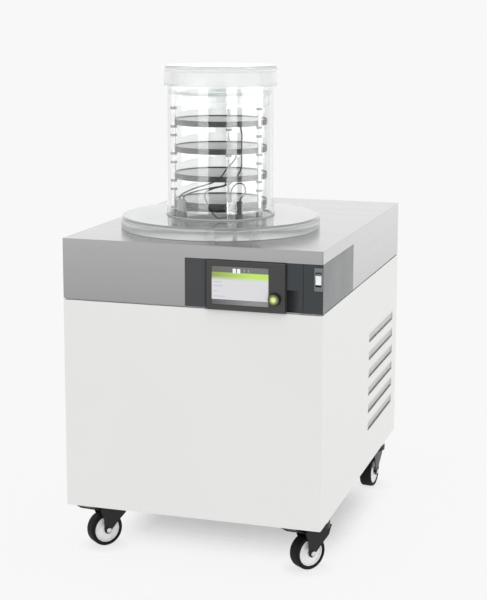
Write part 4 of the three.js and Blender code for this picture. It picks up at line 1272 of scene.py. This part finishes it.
copper = grained(
    "copper_tube", (0.72, 0.36, 0.20), (0.58, 0.27, 0.14), 0.2, 0.35, 700, 30, 0.05, Metallic=1
)
coil_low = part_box("condenser_coil")[0].z
coil_turns = 4
coil_radius = 0.122
coil_pitch = 0.04
coil_tube = 0.005
coil_piece = piece_from("coil_tube", bmesh.new())
repeat(
    coil_piece, coil, Turns=float(coil_turns), Radius=coil_radius, Height=coil_pitch * coil_turns,
    Tube_Radius=coil_tube, Place=(chamber.x, chamber.y, coil_low + coil_tube), Material=copper,
)
shade(coil_piece, 60)
finish_piece(coil_piece, "frame", "copper", ["condenser_coil"])

fin_thickness = 0.0004
fin_pitch = 0.004
fin_metal = grained(
    "fin_metal", (0.45, 0.45, 0.45), (0.36, 0.36, 0.36), 0.3, 0.45, 500, 40, 0.05, Metallic=1
)
radiator_low, radiator_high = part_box("radiator")
radiator_size = radiator_high - radiator_low
fin_size = Vector((radiator_size.x, fin_thickness, radiator_size.z))
bm = bmesh.new()
on_first_fin = Matrix.Translation(radiator_low + fin_size / 2) @ Matrix.Diagonal((*fin_size, 1))
bmesh.ops.create_cube(bm, size=1, matrix=on_first_fin)
fins = piece_from("radiator_fins", bm)
fin_count = int((radiator_size.y - fin_thickness) / fin_pitch) + 1
repeat(fins, in_line, Count=fin_count, Step=(0, fin_pitch, 0), Material=fin_metal)
finish_piece(fins, "frame", "copper", ["radiator"])

machine_paint = grained(
    "machine_paint", (0.03, 0.03, 0.031), (0.02, 0.02, 0.021), 0.3, 0.45, 700, 12
)
softened("compressor", 0.004, 3, "frame", "black_steel", machine_paint)
softened("fan_frame", 0.0008, 3, "frame", "black_steel", machine_paint)
softened("control_box", 0.0015, 3, "frame", "galvanised", zinc)
softened("fan_rotor", 0.0006, 2, "fan", "grey_plastic", grey_moulding)


# ---------- connections at the back
# A black moulded mains inlet is snapped into the rear panel. The bright tube that passes through
# it is turned from stainless steel, with a flange that a vacuum hose clamps to.
softened("power_inlet", 0.0008, 3, "frame", "black_plastic", black_moulding)

vacuum_low, vacuum_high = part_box("vacuum_port")
vacuum_middle = centre_of("vacuum_port")
vacuum_outer = half_width("vacuum_port")
vacuum_radius = 0.014
vacuum_inner = 0.012
vacuum_end = vacuum_high.y - vacuum_low.y
flange_thickness = 0.003
collar_start = rear_high.y + 0.0003 - vacuum_low.y
collar_end = collar_start + flange_thickness
flange_start = vacuum_end - flange_thickness
vacuum_section = stepped(
    vacuum_inner, 0, vacuum_radius, collar_start, vacuum_outer, collar_end, vacuum_radius,
    flange_start, vacuum_outer, vacuum_end, vacuum_inner,
)
at = facing_back(vacuum_middle.x, vacuum_low.y, vacuum_middle.z)
vacuum_port = turned("vacuum_tube", vacuum_section, 64, at, 0.0004, 2, closed=True, sharp=40)
finish_piece(vacuum_port, "frame", "bright_steel", ["vacuum_port"], rod_steel)


# ---------- floor
# A plain floor with matt pale paint. It keeps the soft shadow under the machine and round its
# wheels, and fades into the pale surroundings.
floor_radius = 3.2
shadow_middle = 0.03
bm = bmesh.new()
bmesh.ops.create_circle(bm, cap_ends=True, radius=floor_radius, segments=96)
floor = piece_from("floor", bm)
if floor.data.polygons[0].normal.z < 0:
    floor.data.flip_normals()
floor_paint, tree, shader = new_material("pale_floor")
place = object_place(tree)
x, y, _ = split(place)
sideways = math("ABSOLUTE", math("SUBTRACT", x, shadow_middle))
lengthways = math("ABSOLUTE", y)
flecks = speckle(place, 40.0, 3.0, 0.3, 0.7, 0, 1)
feed(
    shader,
    Base_Color=colour_mix(flecks, (0.90, 0.90, 0.90), (0.91, 0.91, 0.91)),
    Roughness=1,
    Specular_IOR_Level=0,
)
under = product(
    ramp(sideways, 0.24, 0.38, 1, 0, "SMOOTHSTEP"),
    ramp(lengthways, 0.10, 0.42, 1, 0, "SMOOTHSTEP"),
    0.58,
)
beside = product(ramp(sideways, 0.45, 1.2, 0.05, 0), ramp(lengthways, 0.6, 1.4, 1, 0))
covered = total(under, beside)
for where in corners:
    from_wheel = from_upright(x, y, joints[f"roll_{where}"]["pos_m"])
    covered = math("MAXIMUM", covered, ramp(from_wheel, 0.02, 0.11, 0.22, 0, "SMOOTHSTEP"))
show_mix(tree, covered, add_node(tree, "ShaderNodeBsdfTransparent"), shader)
floor.data.materials.append(floor_paint)


# ---------- light
# A white room with a large soft lamp overhead. Tall white screens stand round the machine, with
# a darker opening where it is looked in from and a narrow gap between two screens at the right.
background = 0.938
dark_level = 0.1
opening = (-7.7, 30.3)  # bearings in degrees from the front, to the right
slit = (52.8, 63.4)
band = (-8.8, -2.5)  # degrees above the level
edge = 0.8
room = bpy.data.worlds.new("room")
scene.world = room
room.use_nodes = True
tree = room.node_tree
x, y, z = split(add_node(tree, "ShaderNodeTexCoord").outputs["Generated"])
bearing = product(math("ARCTAN2", x, product(y, -1)), 180 / pi)


def between(value, low, high, edge):
    """A soft mask of a value between two limits."""
    rise = ramp(value, low - edge, low + edge, 0, 1)
    return product(rise, ramp(value, high - edge, high + edge, 1, 0))


def blended(factor, first, second):
    """A mix of two levels."""
    return total(product(math("SUBTRACT", 1, factor), first), product(factor, second))


screen_band = between(z, *(sin(radians(angle)) for angle in band), 0.004)
open_side = math("MAXIMUM", between(bearing, *opening, edge), between(bearing, *slit, edge))
dark = product(open_side, screen_band)
upper = ramp(z, -0.05, 0.6, 1.14, 1.0)
lower = ramp(z, -0.35, -0.15, 0.94, 1.04)
above_rim = ramp(z, 0.2, 0.42, 0.21, -0.18)
below_rim = ramp(z, -0.55, -0.3, -0.45, 0)
room_level = total(
    blended(math("GREATER_THAN", z, -0.04), lower, upper),
    product(ramp(y, -0.1, 0.5, 0, 1), total(above_rim, below_rim)),
    product(between(bearing, 50, 128, 15), -0.05),
    product(between(bearing, -135, -50, 15), -0.18),
)
strip = between(bearing, -162.1, -161.3, 0.15)
low = ramp(z, sin(radians(-3.2)), sin(radians(-2.8)), 1, 0)
seen_through = blended(low, 0.84, blended(strip, 0.78, 0.93))
path = add_node(tree, "ShaderNodeLightPath").outputs
level = blended(path["Is Transmission Ray"], room_level, seen_through)
level = blended(product(dark, math("MINIMUM", path["Glossy Depth"], 1)), level, dark_level)
level = blended(path["Is Camera Ray"], level, background)
feed(tree.nodes["Background"], Color=(1, 1, 1), Strength=level)


def softbox(name, aim, turn, up, distance, width, height, level):
    """A rectangular lamp at two angles in degrees from a point, facing it, of a brightness."""
    data = bpy.data.lights.new(name, "AREA")
    data.shape = "RECTANGLE"
    data.size = width
    data.size_y = height
    data.energy = level * pi * width * height
    turn, up = radians(turn), radians(up)
    direction = Vector((sin(turn) * cos(up), -cos(turn) * cos(up), sin(up)))
    facing = direction.to_track_quat("Z", "Y").to_matrix().to_4x4()
    box = bpy.data.objects.new(name, data)
    box.matrix_world = Matrix.Translation(aim + direction * distance) @ facing
    box.visible_camera = False
    scene.collection.objects.link(box)
    return box


softbox("overhead_softbox", Vector((0, 0, 1)), 30, 78, 2.7, 2.6, 2.6, 1.0)
screen_distance = 3.0
screen_height = 1.1
mirrored = bpy.data.collections.new("mirrors_the_screens")
mirrored.objects.link(drum)
for name, start, end, strength in (
    ("far_left_screen", -110, -29.7, 1.1),
    ("left_screen", -29.7, opening[0], 3.3),
    ("right_screen", opening[1], slit[0], 3.7),
    ("far_right_screen", slit[1], 118, 3.6),
):
    width = 2 * screen_distance * tan(radians(end - start) / 2)
    screen = softbox(
        name, chamber, (start + end) / 2, -5.5, screen_distance, width, screen_height, strength
    )
    screen.light_linking.receiver_collection = mirrored
